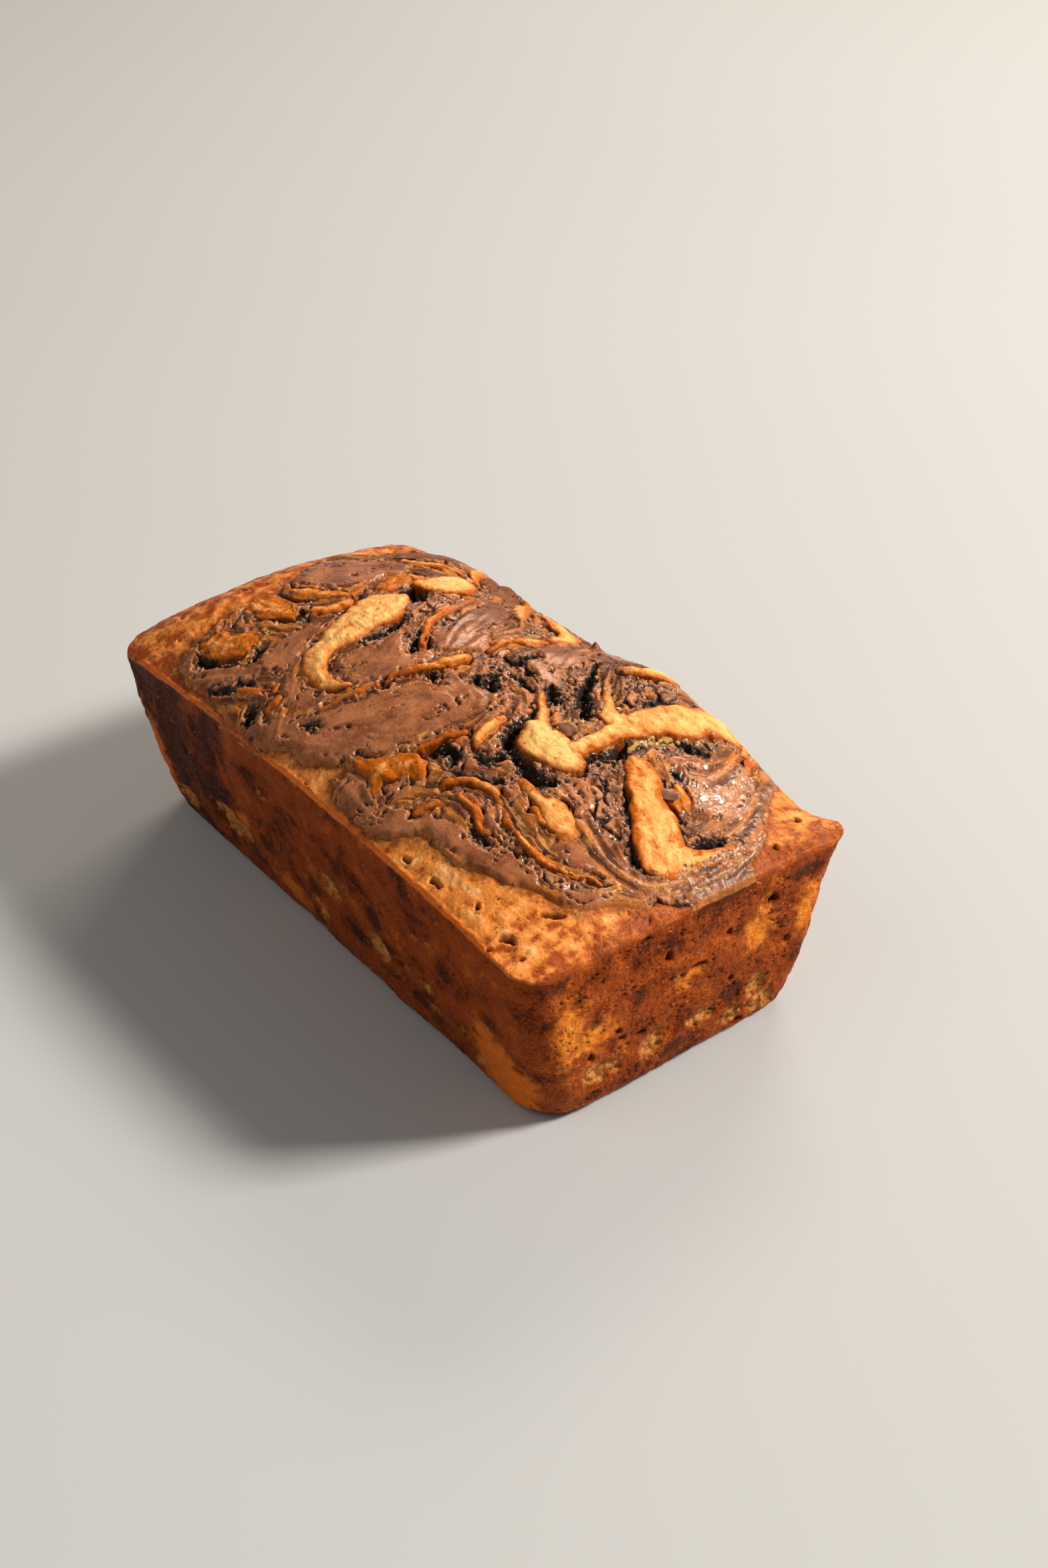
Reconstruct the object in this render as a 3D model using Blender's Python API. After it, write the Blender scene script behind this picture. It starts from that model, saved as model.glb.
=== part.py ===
# Chocolate banana bread: one uncut loaf with flared sides, a domed top and a marbled, cracked crust.
# Sizes below are in millimetres. The mesh is filled in metres, with +Z up.
# +X points to one short end of the loaf, and the loaf rests on z = 0 with the origin under its middle.

import bmesh
import bpy
import numpy as np

METRE = 0.001

# Outline of the loaf at its rim and at its foot, as the tin shaped it.
RIM_LENGTH = 216.0
RIM_WIDTH = 114.0
FOOT_LENGTH = 205.0
FOOT_WIDTH = 93.0
RIM_CORNER = 9.0
FOOT_CORNER = 14.0
FOOT_ROUNDING = 4.5
WALL_BULGE = 1.3
WALL_LUMP = 0.9
WALL_LUMP_SIZE = 24.0
WALL_LUMP_START = 0.2

# Height of the rim line: lowest at the corners, arched along the sides, raised at the far end.
CORNER_HEIGHT = 59.0
SIDE_ARCH = 6.0
SIDE_ARCH_POWER = 0.8
FAR_END_RISE = 6.0
FAR_END_START = 70.0
FAR_END_POWER = 4

# Dome above the rim, a little lower on the near end and steep on the right flank.
# A fall is the power of the distance from the middle: a higher one stays full for longer.
DOME_HEIGHT = 19.0
NEAR_FALL = 2.9
FAR_FALL = 4.6
LEFT_FALL = 1.9
RIGHT_FALL = 2.8
END_FULLNESS = 0.9
LEFT_FULLNESS = 0.9
RIGHT_FULLNESS = 0.8

# Broad swells and hollows of the dome: x, y, height, radius along x, radius along y.
SWELLS = (
    (-95.0, 35.0, -6.8, 16.0, 16.0),
    (-62.0, 46.0, 2.7, 16.0, 16.0),
    (-30.0, 46.0, -4.0, 16.0, 16.0),
    (0.0, 48.0, -4.4, 12.0, 14.0),
    (42.0, 46.0, 8.3, 20.0, 16.0),
)
SWELL_END_POWER = 8
SWELL_SIDE_POWER = 6
# Sag of the right rim near the near end: x, where it starts in y, depth, radius.
RIM_SAG = (88.0, -5.0, 6.0, 16.0)
# Torn flap of crust at the near right corner: x, y, how far it flares out, radius, lowest point.
FLAP = (104.0, 53.0, 3.6, 8.0, 48.0)
FLAP_LENGTHWAYS = 0.3

# Grid of the top, rows of the sides, and the mark of the foot's middle point past the last row.
TOP_CELLS = (78, 41)
WALL_ROWS = 8
FOOT_CENTRE = 2.0

# Pale batter that rose over the chocolate. Each lobe is drawn through points of x, y and half width.
BATTER_LOBES = (
    ((-41, 5, 6.5), (-39.5, -1, 8.5), (-37.5, -8, 7.2), (-36, -15, 6.8), (-35, -21, 5.2),
     (-33, -27, 4.6), (-28, -31, 3.5), (-22.5, -32.3, 2.6), (-14, -28.5, 1.6)),
    ((-43, 34, 4), (-42, 29, 6.5), (-44, 23, 5), (-50, 20, 3)),
    ((-77, -11, 1.6), (-72, -9, 3.6), (-66, -7.2, 4.2), (-60, -5.2, 3), (-55, -2.5, 1.8)),
    ((-82, -20, 4), (-76, -20.5, 5.5), (-70, -20, 5.8), (-65, -19, 4.2), (-60, -18.8, 2)),
    ((-73.5, -40, 4.5), (-68, -39, 6.2), (-62.5, -36.5, 5.8), (-59.5, -37, 3.5)),
    ((62, 57, 6.5), (61.5, 50, 6), (61, 43, 5), (60, 36, 5.8), (57.5, 29, 5.2),
     (55.5, 23, 4.8), (55, 17, 3.6), (55, 8, 3.2), (55, 0, 3.2)),
    ((40, 25, 1.5), (44, 21.5, 2), (51, 19, 4)),
    ((42.5, -2.5, 3), (47, -4.5, 5.4), (52.5, -4, 5.2), (58, -3.3, 3.6)),
    ((68, 12.5, 3.4), (73, 10.5, 4.6), (79, 7.2, 5.4), (85, 4.5, 6.3), (91, 1.5, 7.4), (95, -1.5, 5.5)),
    ((95, 3, 5), (98.5, 9, 3.2), (99.5, 15, 2), (98, 23, 1.5)),
    ((55.5, -18.8, 1.6), (63.5, -18.3, 2), (68, -18.2, 3.6), (73, -18.6, 4.3), (77, -19.2, 3.8)),
    ((12.5, -43.7, 1.5), (17.5, -43, 2.4), (22.5, -41.8, 3.6), (29, -36, 3.6), (33.5, -36, 2.2)),
    ((-20, 49, 2), (-8, 46.5, 2.8), (-2, 44, 3.4), (3, 34, 2.2)),
    ((1.5, 2, 2.6), (0, -3, 2.8), (-3, -10, 2)),
    ((-28, 46, 2.4), (-23, 41, 2.8), (-18, 37.5, 2.4)),
)
LOBE_LIFT = 2.3
LOBE_SHOULDER = 2.6

# Torn crevices between the batter and the chocolate, drawn the same way.
CREVICES = (
    ((-45, 17, 1.8), (-42, 14, 2.8), (-38, 11, 1.6)),
    ((28, 30, 1.4), (33.5, 22.5, 1.9), (40, 16, 2.3), (45, 12.5, 1.5)),
    ((36, 1.5, 1.4), (38, -4, 2), (41, -11.5, 2.3), (50, -13.5, 1.8), (58, -14, 2.1), (62, -8, 1.5)),
    ((26, -32, 1.4), (31, -26.2, 2), (37, -27.5, 1.4)),
    ((61, 14, 1.6), (61, 8, 1.8), (60.5, 0, 1.5)),
    ((74.5, 3.5, 1.2), (80, 0.3, 1.4), (90.5, -8, 1.4)),
    ((12, 20, 1.4), (12, 12.5, 1.6)),
    ((13, 3, 1.6), (18, -1, 2.2)),
    ((-67, -47.5, 1.5), (-57, -41.5, 1.2)),
    ((54, 36.5, 1.3), (50.5, 31.5, 1.4)),
)
CREVICE_DEPTH = 3.2
CREVICE_BANK = 2.9

# Edge of the chocolate swirl, which stands a little above the plain batter round it.
SWIRL_EDGE = (
    (-96, 30), (-95, 18), (-90, 8), (-85, 0), (-83, -7), (-80, -14), (-81, -22), (-80, -38), (-80, -46),
    (-74, -52.5), (-60, -54.5), (-30, -56), (-17, -55), (-2, -52.5), (10, -47), (18, -53), (38, -55),
    (48, -47.5), (67, -45.5), (84, -37), (96.5, -30.5), (102, -14.5), (107, -2), (107, 20),
    (100.5, 30.5), (88, 45), (76, 56), (30, 56), (-30, 56), (-70, 54), (-84, 48), (-92, 40),
)
SWIRL_LIFT = 1.2
SWIRL_SLOPE = 2.5
CRUST_ROUGHNESS = 0.55
CRUST_GRAIN = 7.0
RIM_FADE = 5.0

CURVE_STEPS = 5
SMALLEST_LENGTH = 1e-6
NOISE_SEED = 11
NOISE_TABLE = 256
NOISE_GAIN = 1.6
SHARP_ANGLE = np.radians(55.0)
CRUST_COLOUR = (0.42, 0.17, 0.055, 1.0)
CRUST_SURFACE_ROUGHNESS = 0.6


def clear_scene():
    for item in list(bpy.data.objects):
        bpy.data.objects.remove(item, do_unlink=True)


def smooth_step(value):
    value = np.clip(value, 0.0, 1.0)
    return value * value * (3.0 - 2.0 * value)


def lattice_noise(points, cell, seed):
    """Smooth noise between about -1 and 1, whose bumps are one cell wide."""
    random = np.random.default_rng(seed)
    table = random.permutation(NOISE_TABLE)
    slopes = random.normal(size=(NOISE_TABLE, 3))
    slopes /= np.linalg.norm(slopes, axis=1, keepdims=True)
    scaled = points / cell
    corner = np.floor(scaled).astype(int)
    inside = scaled - corner
    blend = inside**3 * (inside * (inside * 6.0 - 15.0) + 10.0)
    total = np.zeros(len(points))
    for step in np.ndindex(2, 2, 2):
        place = (corner + step) % NOISE_TABLE
        row = table[(place[:, 1] + table[place[:, 2]]) % NOISE_TABLE]
        pick = table[(place[:, 0] + row) % NOISE_TABLE]
        share = np.prod(np.where(step, blend, 1.0 - blend), axis=1)
        total += share * np.sum(slopes[pick] * (inside - step), axis=1)
    return total * NOISE_GAIN


def smooth_curve(points):
    """Points of a smooth curve through the given points."""
    points = np.array(points, float)
    padded = np.vstack((2 * points[0] - points[1], points, 2 * points[-1] - points[-2]))
    parts = []
    for before, start, end, after in zip(padded, padded[1:], padded[2:], padded[3:]):
        for t in np.arange(CURVE_STEPS) / CURVE_STEPS:
            parts.append(
                0.5 * (2 * start + (end - before) * t
                       + (2 * before - 5 * start + 4 * end - after) * t**2
                       + (3 * start - before - 3 * end + after) * t**3)
            )
    parts.append(points[-1])
    return np.array(parts)


def depth_in_stroke(x, y, stroke):
    """How far each place lies inside a stroke of changing width, negative outside it."""
    curve = smooth_curve(stroke)
    best = np.full(len(x), -np.inf)
    for start, end in zip(curve[:-1], curve[1:]):
        run = end[:2] - start[:2]
        share = np.clip(((x - start[0]) * run[0] + (y - start[1]) * run[1]) / (run @ run), 0.0, 1.0)
        away = np.hypot(x - start[0] - share * run[0], y - start[1] - share * run[1])
        best = np.maximum(best, start[2] + share * (end[2] - start[2]) - away)
    return best


def depth_in_outline(x, y, outline):
    """How far each place lies inside a closed outline, negative outside it."""
    corners = np.array(outline, float)
    nearest = np.full(len(x), np.inf)
    inside = np.zeros(len(x), bool)
    for start, end in zip(corners, np.roll(corners, -1, axis=0)):
        run = end - start
        share = np.clip(((x - start[0]) * run[0] + (y - start[1]) * run[1]) / (run @ run), 0.0, 1.0)
        nearest = np.minimum(nearest, np.hypot(x - start[0] - share * run[0], y - start[1] - share * run[1]))
        crosses = (start[1] > y) != (end[1] > y)
        rise = run[1] if run[1] else 1.0
        inside ^= crosses & (x < start[0] + (y - start[1]) * run[0] / rise)
    return np.where(inside, nearest, -nearest)


def outline_point(across, along, half_length, half_width, corner):
    """Turns a place on the square grid into a place in a rectangle with round corners."""
    x = across * half_length
    y = along * half_width
    over_x = np.clip(np.abs(x) - (half_length - corner), 0.0, None) / corner
    over_y = np.clip(np.abs(y) - (half_width - corner), 0.0, None) / corner
    x = x - np.sign(x) * corner * over_x * (1.0 - np.sqrt(1.0 - over_y**2 / 2.0))
    y = y - np.sign(y) * corner * over_y * (1.0 - np.sqrt(1.0 - over_x**2 / 2.0))
    return x, y


def rim_height(x, y):
    end_share = np.abs(x) / (RIM_LENGTH / 2.0)
    side_share = np.clip(np.abs(y) / (RIM_WIDTH / 2.0), 0.0, 1.0)
    height = CORNER_HEIGHT + SIDE_ARCH * np.clip(1.0 - end_share**2, 0.0, 1.0) ** SIDE_ARCH_POWER
    far = smooth_step((-x - FAR_END_START) / (RIM_LENGTH / 2.0 - FAR_END_START))
    height += FAR_END_RISE * far * (1.0 - side_share**FAR_END_POWER)
    place, start, depth, radius = RIM_SAG
    right = smooth_step((y - start) / (RIM_WIDTH / 2.0 - start))
    return height - depth * np.exp(-(((x - place) / radius) ** 2)) * right


def dome_height(x, y):
    end_share = np.clip(np.abs(x) / (RIM_LENGTH / 2.0), 0.0, 1.0)
    side_share = np.clip(np.abs(y) / (RIM_WIDTH / 2.0), 0.0, 1.0)
    lengthways = (1.0 - end_share ** np.where(x > 0.0, NEAR_FALL, FAR_FALL)) ** END_FULLNESS
    left = (1.0 - side_share**LEFT_FALL) ** LEFT_FULLNESS
    right = (1.0 - side_share**RIGHT_FALL) ** RIGHT_FULLNESS
    height = DOME_HEIGHT * lengthways * np.where(y < 0.0, left, right)
    clear_of_rim = (1.0 - end_share**SWELL_END_POWER) * (1.0 - side_share**SWELL_SIDE_POWER)
    for swell_x, swell_y, rise, radius_x, radius_y in SWELLS:
        spread = ((x - swell_x) / radius_x) ** 2 + ((y - swell_y) / radius_y) ** 2
        height += rise * clear_of_rim * np.exp(-spread)
    return height


def shoulder(depth, width):
    """Rounded edge profile: 0 at the edge, 1 from one width inside."""
    share = np.clip(depth / width, 0.0, 1.0)
    return np.sqrt(1.0 - (1.0 - share) ** 2)


def crust_relief(x, y):
    """Height of the marbling, the lobes, the crevices and the broken crust above the plain dome."""
    places = np.column_stack((x, y, np.zeros(len(x))))
    in_swirl = depth_in_outline(x, y, SWIRL_EDGE)
    swirl = smooth_step(in_swirl / SWIRL_SLOPE)
    height = SWIRL_LIFT * swirl
    height += CRUST_ROUGHNESS * lattice_noise(places, CRUST_GRAIN, NOISE_SEED)
    lobes = np.max([depth_in_stroke(x, y, lobe) for lobe in BATTER_LOBES], axis=0)
    height += LOBE_LIFT * shoulder(lobes, LOBE_SHOULDER)
    crevices = np.max([depth_in_stroke(x, y, crevice) for crevice in CREVICES], axis=0)
    height -= CREVICE_DEPTH * smooth_step((crevices + CREVICE_BANK) / (2.0 * CREVICE_BANK))
    to_rim = np.minimum(RIM_LENGTH / 2.0 - np.abs(x), RIM_WIDTH / 2.0 - np.abs(y))
    return height * smooth_step(to_rim / RIM_FADE)


def wall_outline(across, along, height):
    """Places on the side of the loaf at the given heights, before its lumps."""
    share = np.clip(height / CORNER_HEIGHT, 0.0, None)
    bulge = WALL_BULGE * np.sin(np.pi * np.clip(share, 0.0, 1.0))
    low = np.clip(FOOT_ROUNDING - height, 0.0, FOOT_ROUNDING)
    tuck = FOOT_ROUNDING - np.sqrt(FOOT_ROUNDING**2 - low**2)
    flare = np.clip(share, 0.0, 1.0)
    half_length = (FOOT_LENGTH + flare * (RIM_LENGTH - FOOT_LENGTH)) / 2.0 + bulge - tuck
    half_width = (FOOT_WIDTH + flare * (RIM_WIDTH - FOOT_WIDTH)) / 2.0 + bulge - tuck
    corner = FOOT_CORNER + flare * (RIM_CORNER - FOOT_CORNER)
    return outline_point(across, along, half_length, half_width, corner)


def outward(x, y):
    """Unit direction away from the loaf at a place on its side, and zero further in."""
    over_x = x - np.clip(x, -(FOOT_LENGTH / 2.0 - FOOT_CORNER), FOOT_LENGTH / 2.0 - FOOT_CORNER)
    over_y = y - np.clip(y, -(FOOT_WIDTH / 2.0 - FOOT_CORNER), FOOT_WIDTH / 2.0 - FOOT_CORNER)
    length = np.maximum(np.hypot(over_x, over_y), SMALLEST_LENGTH)
    return over_x / length, over_y / length


def top_points(across, along):
    x, y = outline_point(across, along, RIM_LENGTH / 2.0, RIM_WIDTH / 2.0, RIM_CORNER)
    z = rim_height(x, y) + dome_height(x, y) + crust_relief(x, y)
    return np.column_stack((x, y, z))


def wall_points(across, along, drop):
    """Places on the sides, where drop runs from 0 at the rim to 1 at the foot."""
    rim_x, rim_y = outline_point(across, along, RIM_LENGTH / 2.0, RIM_WIDTH / 2.0, RIM_CORNER)
    z = rim_height(rim_x, rim_y) * (1.0 - np.sin(np.pi / 2.0 * drop))
    x, y = wall_outline(across, along, z)
    side_x, side_y = outward(x, y)
    lump = WALL_LUMP * lattice_noise(np.column_stack((x, y, z)), WALL_LUMP_SIZE, NOISE_SEED + 1)
    lump = lump * smooth_step(drop / WALL_LUMP_START) * smooth_step(z / FOOT_ROUNDING)
    return np.column_stack((x + side_x * lump, y + side_y * lump, z))


def flare_flap(points):
    """Pulls the crust outwards where it tore from the tin at one corner."""
    flap_x, flap_y, reach, radius, lowest = FLAP
    side_x, side_y = outward(points[:, 0], points[:, 1])
    near = np.exp(-(((points[:, 0] - flap_x) / radius) ** 2) - ((points[:, 1] - flap_y) / radius) ** 2)
    high = smooth_step((points[:, 2] - lowest) / (CORNER_HEIGHT - lowest))
    pull = reach * near * high
    points[:, 0] += side_x * pull * FLAP_LENGTHWAYS
    points[:, 1] += side_y * pull
    return points


def loaf_mesh():
    """A grid for the top whose border is extruded down the sides and closed by a flat foot."""
    shape = bmesh.new()
    place = shape.verts.layers.float_vector.new("place")
    bmesh.ops.create_grid(shape, x_segments=TOP_CELLS[0], y_segments=TOP_CELLS[1], size=1.0)
    for vertex in shape.verts:
        vertex[place] = (vertex.co.x, vertex.co.y, 0.0)
    border = [edge for edge in shape.edges if edge.is_boundary]
    for row in range(1, WALL_ROWS + 1):
        made = bmesh.ops.extrude_edge_only(shape, edges=border)["geom"]
        border = [item for item in made if isinstance(item, bmesh.types.BMEdge) and item.is_boundary]
        for vertex in {corner for edge in border for corner in edge.verts}:
            vertex[place] = (vertex[place][0], vertex[place][1], row / WALL_ROWS)
    foot = bmesh.ops.contextual_create(shape, geom=border)["faces"]
    centre = bmesh.ops.poke(shape, faces=foot)["verts"][0]
    centre[place] = (0.0, 0.0, FOOT_CENTRE)

    across, along, drop = np.array([vertex[place] for vertex in shape.verts]).T
    points = np.where((drop == 0.0)[:, None], top_points(across, along), wall_points(across, along, drop))
    points = np.where((drop == FOOT_CENTRE)[:, None], 0.0, flare_flap(points))
    for vertex, point in zip(shape.verts, points):
        vertex.co = point * METRE
    shape.verts.layers.float_vector.remove(place)
    bmesh.ops.recalc_face_normals(shape, faces=shape.faces)
    mesh = bpy.data.meshes.new("loaf")
    shape.to_mesh(mesh)
    shape.free()
    mesh.shade_smooth()
    mesh.set_sharp_from_angle(angle=SHARP_ANGLE)
    return mesh


def crust_material():
    material = bpy.data.materials.new("baked crust")
    material.use_nodes = True
    surface = material.node_tree.nodes["Principled BSDF"]
    surface.inputs["Base Color"].default_value = CRUST_COLOUR
    surface.inputs["Roughness"].default_value = CRUST_SURFACE_ROUGHNESS
    surface.inputs["Metallic"].default_value = 0.0
    return material


def main():
    clear_scene()
    loaf = bpy.data.objects.new("loaf", loaf_mesh())
    loaf.data.materials.append(crust_material())
    bpy.context.scene.collection.objects.link(loaf)


main()
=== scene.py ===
# Chocolate banana bread: the marbled top, the plain crust round it and the tin-baked sides,
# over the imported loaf. Shapes are worked out in millimetres and stored in metres.
import math

import bmesh
import bpy
import numpy as np
from mathutils import Matrix, Vector


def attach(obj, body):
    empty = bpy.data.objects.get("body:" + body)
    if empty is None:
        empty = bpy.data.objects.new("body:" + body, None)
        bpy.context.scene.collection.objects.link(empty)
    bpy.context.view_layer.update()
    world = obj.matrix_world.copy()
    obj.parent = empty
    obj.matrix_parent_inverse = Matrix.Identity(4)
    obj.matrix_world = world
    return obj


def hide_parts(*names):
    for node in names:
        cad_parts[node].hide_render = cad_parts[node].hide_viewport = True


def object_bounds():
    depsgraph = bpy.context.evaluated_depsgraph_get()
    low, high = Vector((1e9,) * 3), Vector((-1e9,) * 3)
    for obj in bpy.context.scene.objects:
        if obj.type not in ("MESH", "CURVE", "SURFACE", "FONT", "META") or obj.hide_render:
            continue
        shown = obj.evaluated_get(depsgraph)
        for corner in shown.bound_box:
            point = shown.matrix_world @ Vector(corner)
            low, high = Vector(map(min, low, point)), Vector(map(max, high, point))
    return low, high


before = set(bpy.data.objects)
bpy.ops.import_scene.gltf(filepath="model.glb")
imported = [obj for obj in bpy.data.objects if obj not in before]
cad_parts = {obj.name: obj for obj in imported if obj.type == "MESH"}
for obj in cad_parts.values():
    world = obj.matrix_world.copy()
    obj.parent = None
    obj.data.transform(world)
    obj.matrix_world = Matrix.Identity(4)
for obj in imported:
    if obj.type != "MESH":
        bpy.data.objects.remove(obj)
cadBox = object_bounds()
metre = 0.001


# Form of the loaf, the same as that of the solid in the frame.
loafForm = {
    "rimLength": 216.0, "rimWidth": 114.0, "rimCorner": 9.0,
    "footLength": 205.0, "footWidth": 93.0, "footCorner": 14.0, "footRounding": 4.5,
    "wallBulge": 1.3, "wallLump": 0.9, "wallLumpSize": 24.0,
    "cornerHeight": 59.0, "sideArch": 6.0, "sideArchPower": 0.8,
    "farEndRise": 6.0, "farEndStart": 70.0, "farEndPower": 4,
    "rimSag": (88.0, -5.0, 6.0, 16.0),          # x, where it starts in y, depth, radius
    "domeHeight": 19.0, "nearFall": 2.9, "farFall": 4.6, "leftFall": 1.9, "rightFall": 2.8,
    "endFullness": 0.9, "leftFullness": 0.9, "rightFullness": 0.8,
    "swells": (                                  # x, y, height, radius along x, radius along y
        (-95.0, 35.0, -6.8, 16.0, 16.0), (-62.0, 46.0, 2.7, 16.0, 16.0), (-30.0, 46.0, -4.0, 16.0, 16.0),
        (0.0, 48.0, -4.4, 12.0, 14.0), (42.0, 46.0, 8.3, 20.0, 16.0),
    ),
    "swellEndPower": 8, "swellSidePower": 6,
    "flap": (104.0, 53.0, 3.6, 8.0, 48.0),       # x, y, reach, radius, lowest point
    "flapLengthways": 0.3,
    "ragHeight": 0.45, "ragSize": 5.0, "ragReach": 2.5,   # unevenness of the rim line
    "sideRounding": 0.45, "endRounding": 1.0,              # of the edge between the top and the sides
    "noiseSeed": 11,
}


# Maths that every surface uses.
def smoothStep(low, high, value):
    share = np.clip((value - low) / (high - low), 0.0, 1.0)
    return share * share * (3.0 - 2.0 * share)


# Smooth bumps as wide as the cell, in millimetres, about -1..1. Each use has a seed of its own.
def gradientNoise(points, cell, seed):
    random = np.random.default_rng(seed)
    table = random.permutation(256)
    slopes = random.normal(size=(256, 3))
    slopes /= np.linalg.norm(slopes, axis=1, keepdims=True)
    scaled = points / cell
    corner = np.floor(scaled).astype(int)
    inside = scaled - corner
    blend = inside**3 * (inside * (inside * 6.0 - 15.0) + 10.0)
    total = np.zeros(len(points))
    for step in np.ndindex(2, 2, 2):
        place = (corner + step) % 256
        row = table[(place[:, 1] + table[place[:, 2]]) % 256]
        pick = table[(place[:, 0] + row) % 256]
        share = np.prod(np.where(step, blend, 1.0 - blend), axis=1)
        total += share * np.sum(slopes[pick] * (inside - step), axis=1)
    return total * 1.6          # brings the bumps to about -1..1


def layeredNoise(points, cell, seed, layers=3, gain=0.5):
    total = np.zeros(len(points))
    for layer in range(layers):
        total += gain**layer * gradientNoise(points, cell / 2.03**layer, seed + layer)
    return total


# 0 in the valleys, 1 on sharp crests.
def ridgedNoise(points, cell, seed, layers=3, gain=0.5):
    total = np.zeros(len(points))
    for layer in range(layers):
        total += gain**layer * (1.0 - np.abs(gradientNoise(points, cell / 2.03**layer, seed + layer)))
    return total / sum(gain**layer for layer in range(layers))


# Round pits scattered over a surface, one to a cell: 1 at the bottom, 0 outside.
def pitShape(u, v, cell, seed, smallest, largest, share):
    random = np.random.default_rng(seed)
    centres = random.random((256, 2))
    radii = smallest + (largest - smallest) * random.random(256) ** 2
    radii[random.random(256) > share] = 0.0
    table = random.permutation(256)
    column = np.floor(u / cell).astype(int)
    row = np.floor(v / cell).astype(int)
    best = np.zeros(len(u))
    for stepU in (-1, 0, 1):
        for stepV in (-1, 0, 1):
            pick = table[(column + stepU + table[(row + stepV) % 256]) % 256]
            away = np.hypot(
                (column + stepU + centres[pick, 0]) * cell - u,
                (row + stepV + centres[pick, 1]) * cell - v,
            )
            best = np.maximum(best, 1.0 - (away / np.maximum(radii[pick], 1e-6)) ** 2)
    return best


def smoothCurve(points, steps=5):
    points = np.array(points, float)
    padded = np.vstack((2 * points[0] - points[1], points, 2 * points[-1] - points[-2]))
    parts = []
    for before, start, end, after in zip(padded, padded[1:], padded[2:], padded[3:]):
        for t in np.arange(steps) / steps:
            parts.append(
                0.5 * (2 * start + (end - before) * t
                       + (2 * before - 5 * start + 4 * end - after) * t**2
                       + (3 * start - before - 3 * end + after) * t**3)
            )
    parts.append(points[-1])
    return np.array(parts)


# Depth inside the nearest stroke of (x, y, half width), and that stroke's number.
def strokeDepth(x, y, strokes, reach=7.0):
    best = np.full(len(x), -reach)
    owner = np.zeros(len(x), int)
    for number, stroke in enumerate(strokes):
        curve = smoothCurve(stroke)
        wide = reach + curve[:, 2].max()
        low = curve[:, :2].min(0) - wide
        high = curve[:, :2].max(0) + wide
        near = np.nonzero((x > low[0]) & (x < high[0]) & (y > low[1]) & (y < high[1]))[0]
        if not len(near):
            continue
        here = best[near]
        mine = owner[near]
        for start, end in zip(curve[:-1], curve[1:]):
            run = end[:2] - start[:2]
            share = ((x[near] - start[0]) * run[0] + (y[near] - start[1]) * run[1]) / max(run @ run, 1e-9)
            share = np.clip(share, 0.0, 1.0)
            away = np.hypot(x[near] - start[0] - share * run[0], y[near] - start[1] - share * run[1])
            depth = start[2] + share * (end[2] - start[2]) - away
            mine = np.where(depth > here, number, mine)
            here = np.maximum(here, depth)
        best[near] = here
        owner[near] = mine
    return best, owner


# Depth inside a closed outline, negative outside.
def outlineDepth(x, y, outline):
    corners = np.array(outline, float)
    nearest = np.full(len(x), np.inf)
    inside = np.zeros(len(x), bool)
    for start, end in zip(corners, np.roll(corners, -1, axis=0)):
        run = end - start
        share = np.clip(((x - start[0]) * run[0] + (y - start[1]) * run[1]) / (run @ run), 0.0, 1.0)
        nearest = np.minimum(nearest, np.hypot(x - start[0] - share * run[0], y - start[1] - share * run[1]))
        rise = run[1] if run[1] else 1.0
        inside ^= ((start[1] > y) != (end[1] > y)) & (x < start[0] + (y - start[1]) * run[0] / rise)
    return np.where(inside, nearest, -nearest)


def flatPlaces(x, y):
    return np.column_stack((x, y, np.zeros(len(x))))


# The plain form: outline, rim line and dome.
def outlinePoint(across, along, halfLength, halfWidth, corner):
    x = across * halfLength
    y = along * halfWidth
    overX = np.clip(np.abs(x) - (halfLength - corner), 0.0, None) / corner
    overY = np.clip(np.abs(y) - (halfWidth - corner), 0.0, None) / corner
    x = x - np.sign(x) * corner * overX * (1.0 - np.sqrt(1.0 - overY**2 / 2.0))
    y = y - np.sign(y) * corner * overY * (1.0 - np.sqrt(1.0 - overX**2 / 2.0))
    return x, y


def rimPoint(across, along):
    return outlinePoint(
        across, along, loafForm["rimLength"] / 2, loafForm["rimWidth"] / 2, loafForm["rimCorner"]
    )


def distanceToRim(x, y):
    halfLength = loafForm["rimLength"] / 2
    halfWidth = loafForm["rimWidth"] / 2
    corner = loafForm["rimCorner"]
    overX = np.abs(x) - (halfLength - corner)
    overY = np.abs(y) - (halfWidth - corner)
    outside = np.hypot(np.clip(overX, 0.0, None), np.clip(overY, 0.0, None))
    inside = np.minimum(np.maximum(overX, overY), 0.0)
    return np.clip(corner - outside - inside, 0.0, None)


def rimHeight(x, y):
    form = loafForm
    endShare = np.abs(x) / (form["rimLength"] / 2)
    sideShare = np.clip(np.abs(y) / (form["rimWidth"] / 2), 0.0, 1.0)
    arch = np.clip(1.0 - endShare**2, 0.0, 1.0) ** form["sideArchPower"]
    height = form["cornerHeight"] + form["sideArch"] * arch
    far = smoothStep(form["farEndStart"], form["rimLength"] / 2, -x)
    height += form["farEndRise"] * far * (1.0 - sideShare ** form["farEndPower"])
    place, start, depth, radius = form["rimSag"]
    height -= depth * np.exp(-(((x - place) / radius) ** 2)) * smoothStep(start, form["rimWidth"] / 2, y)
    rag = form["ragHeight"] * layeredNoise(flatPlaces(x, y), form["ragSize"], 31)
    toRim = distanceToRim(x, y)
    endness = smoothStep(0.93, 1.0, endShare) * smoothStep(-0.2, 0.6, endShare - sideShare + 0.3)
    rounding = form["sideRounding"] + (form["endRounding"] - form["sideRounding"]) * endness
    short = np.clip(rounding - toRim, 0.0, None)
    height -= rounding - np.sqrt(rounding**2 - short**2)
    return height + rag * np.exp(-toRim / form["ragReach"])


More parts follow.
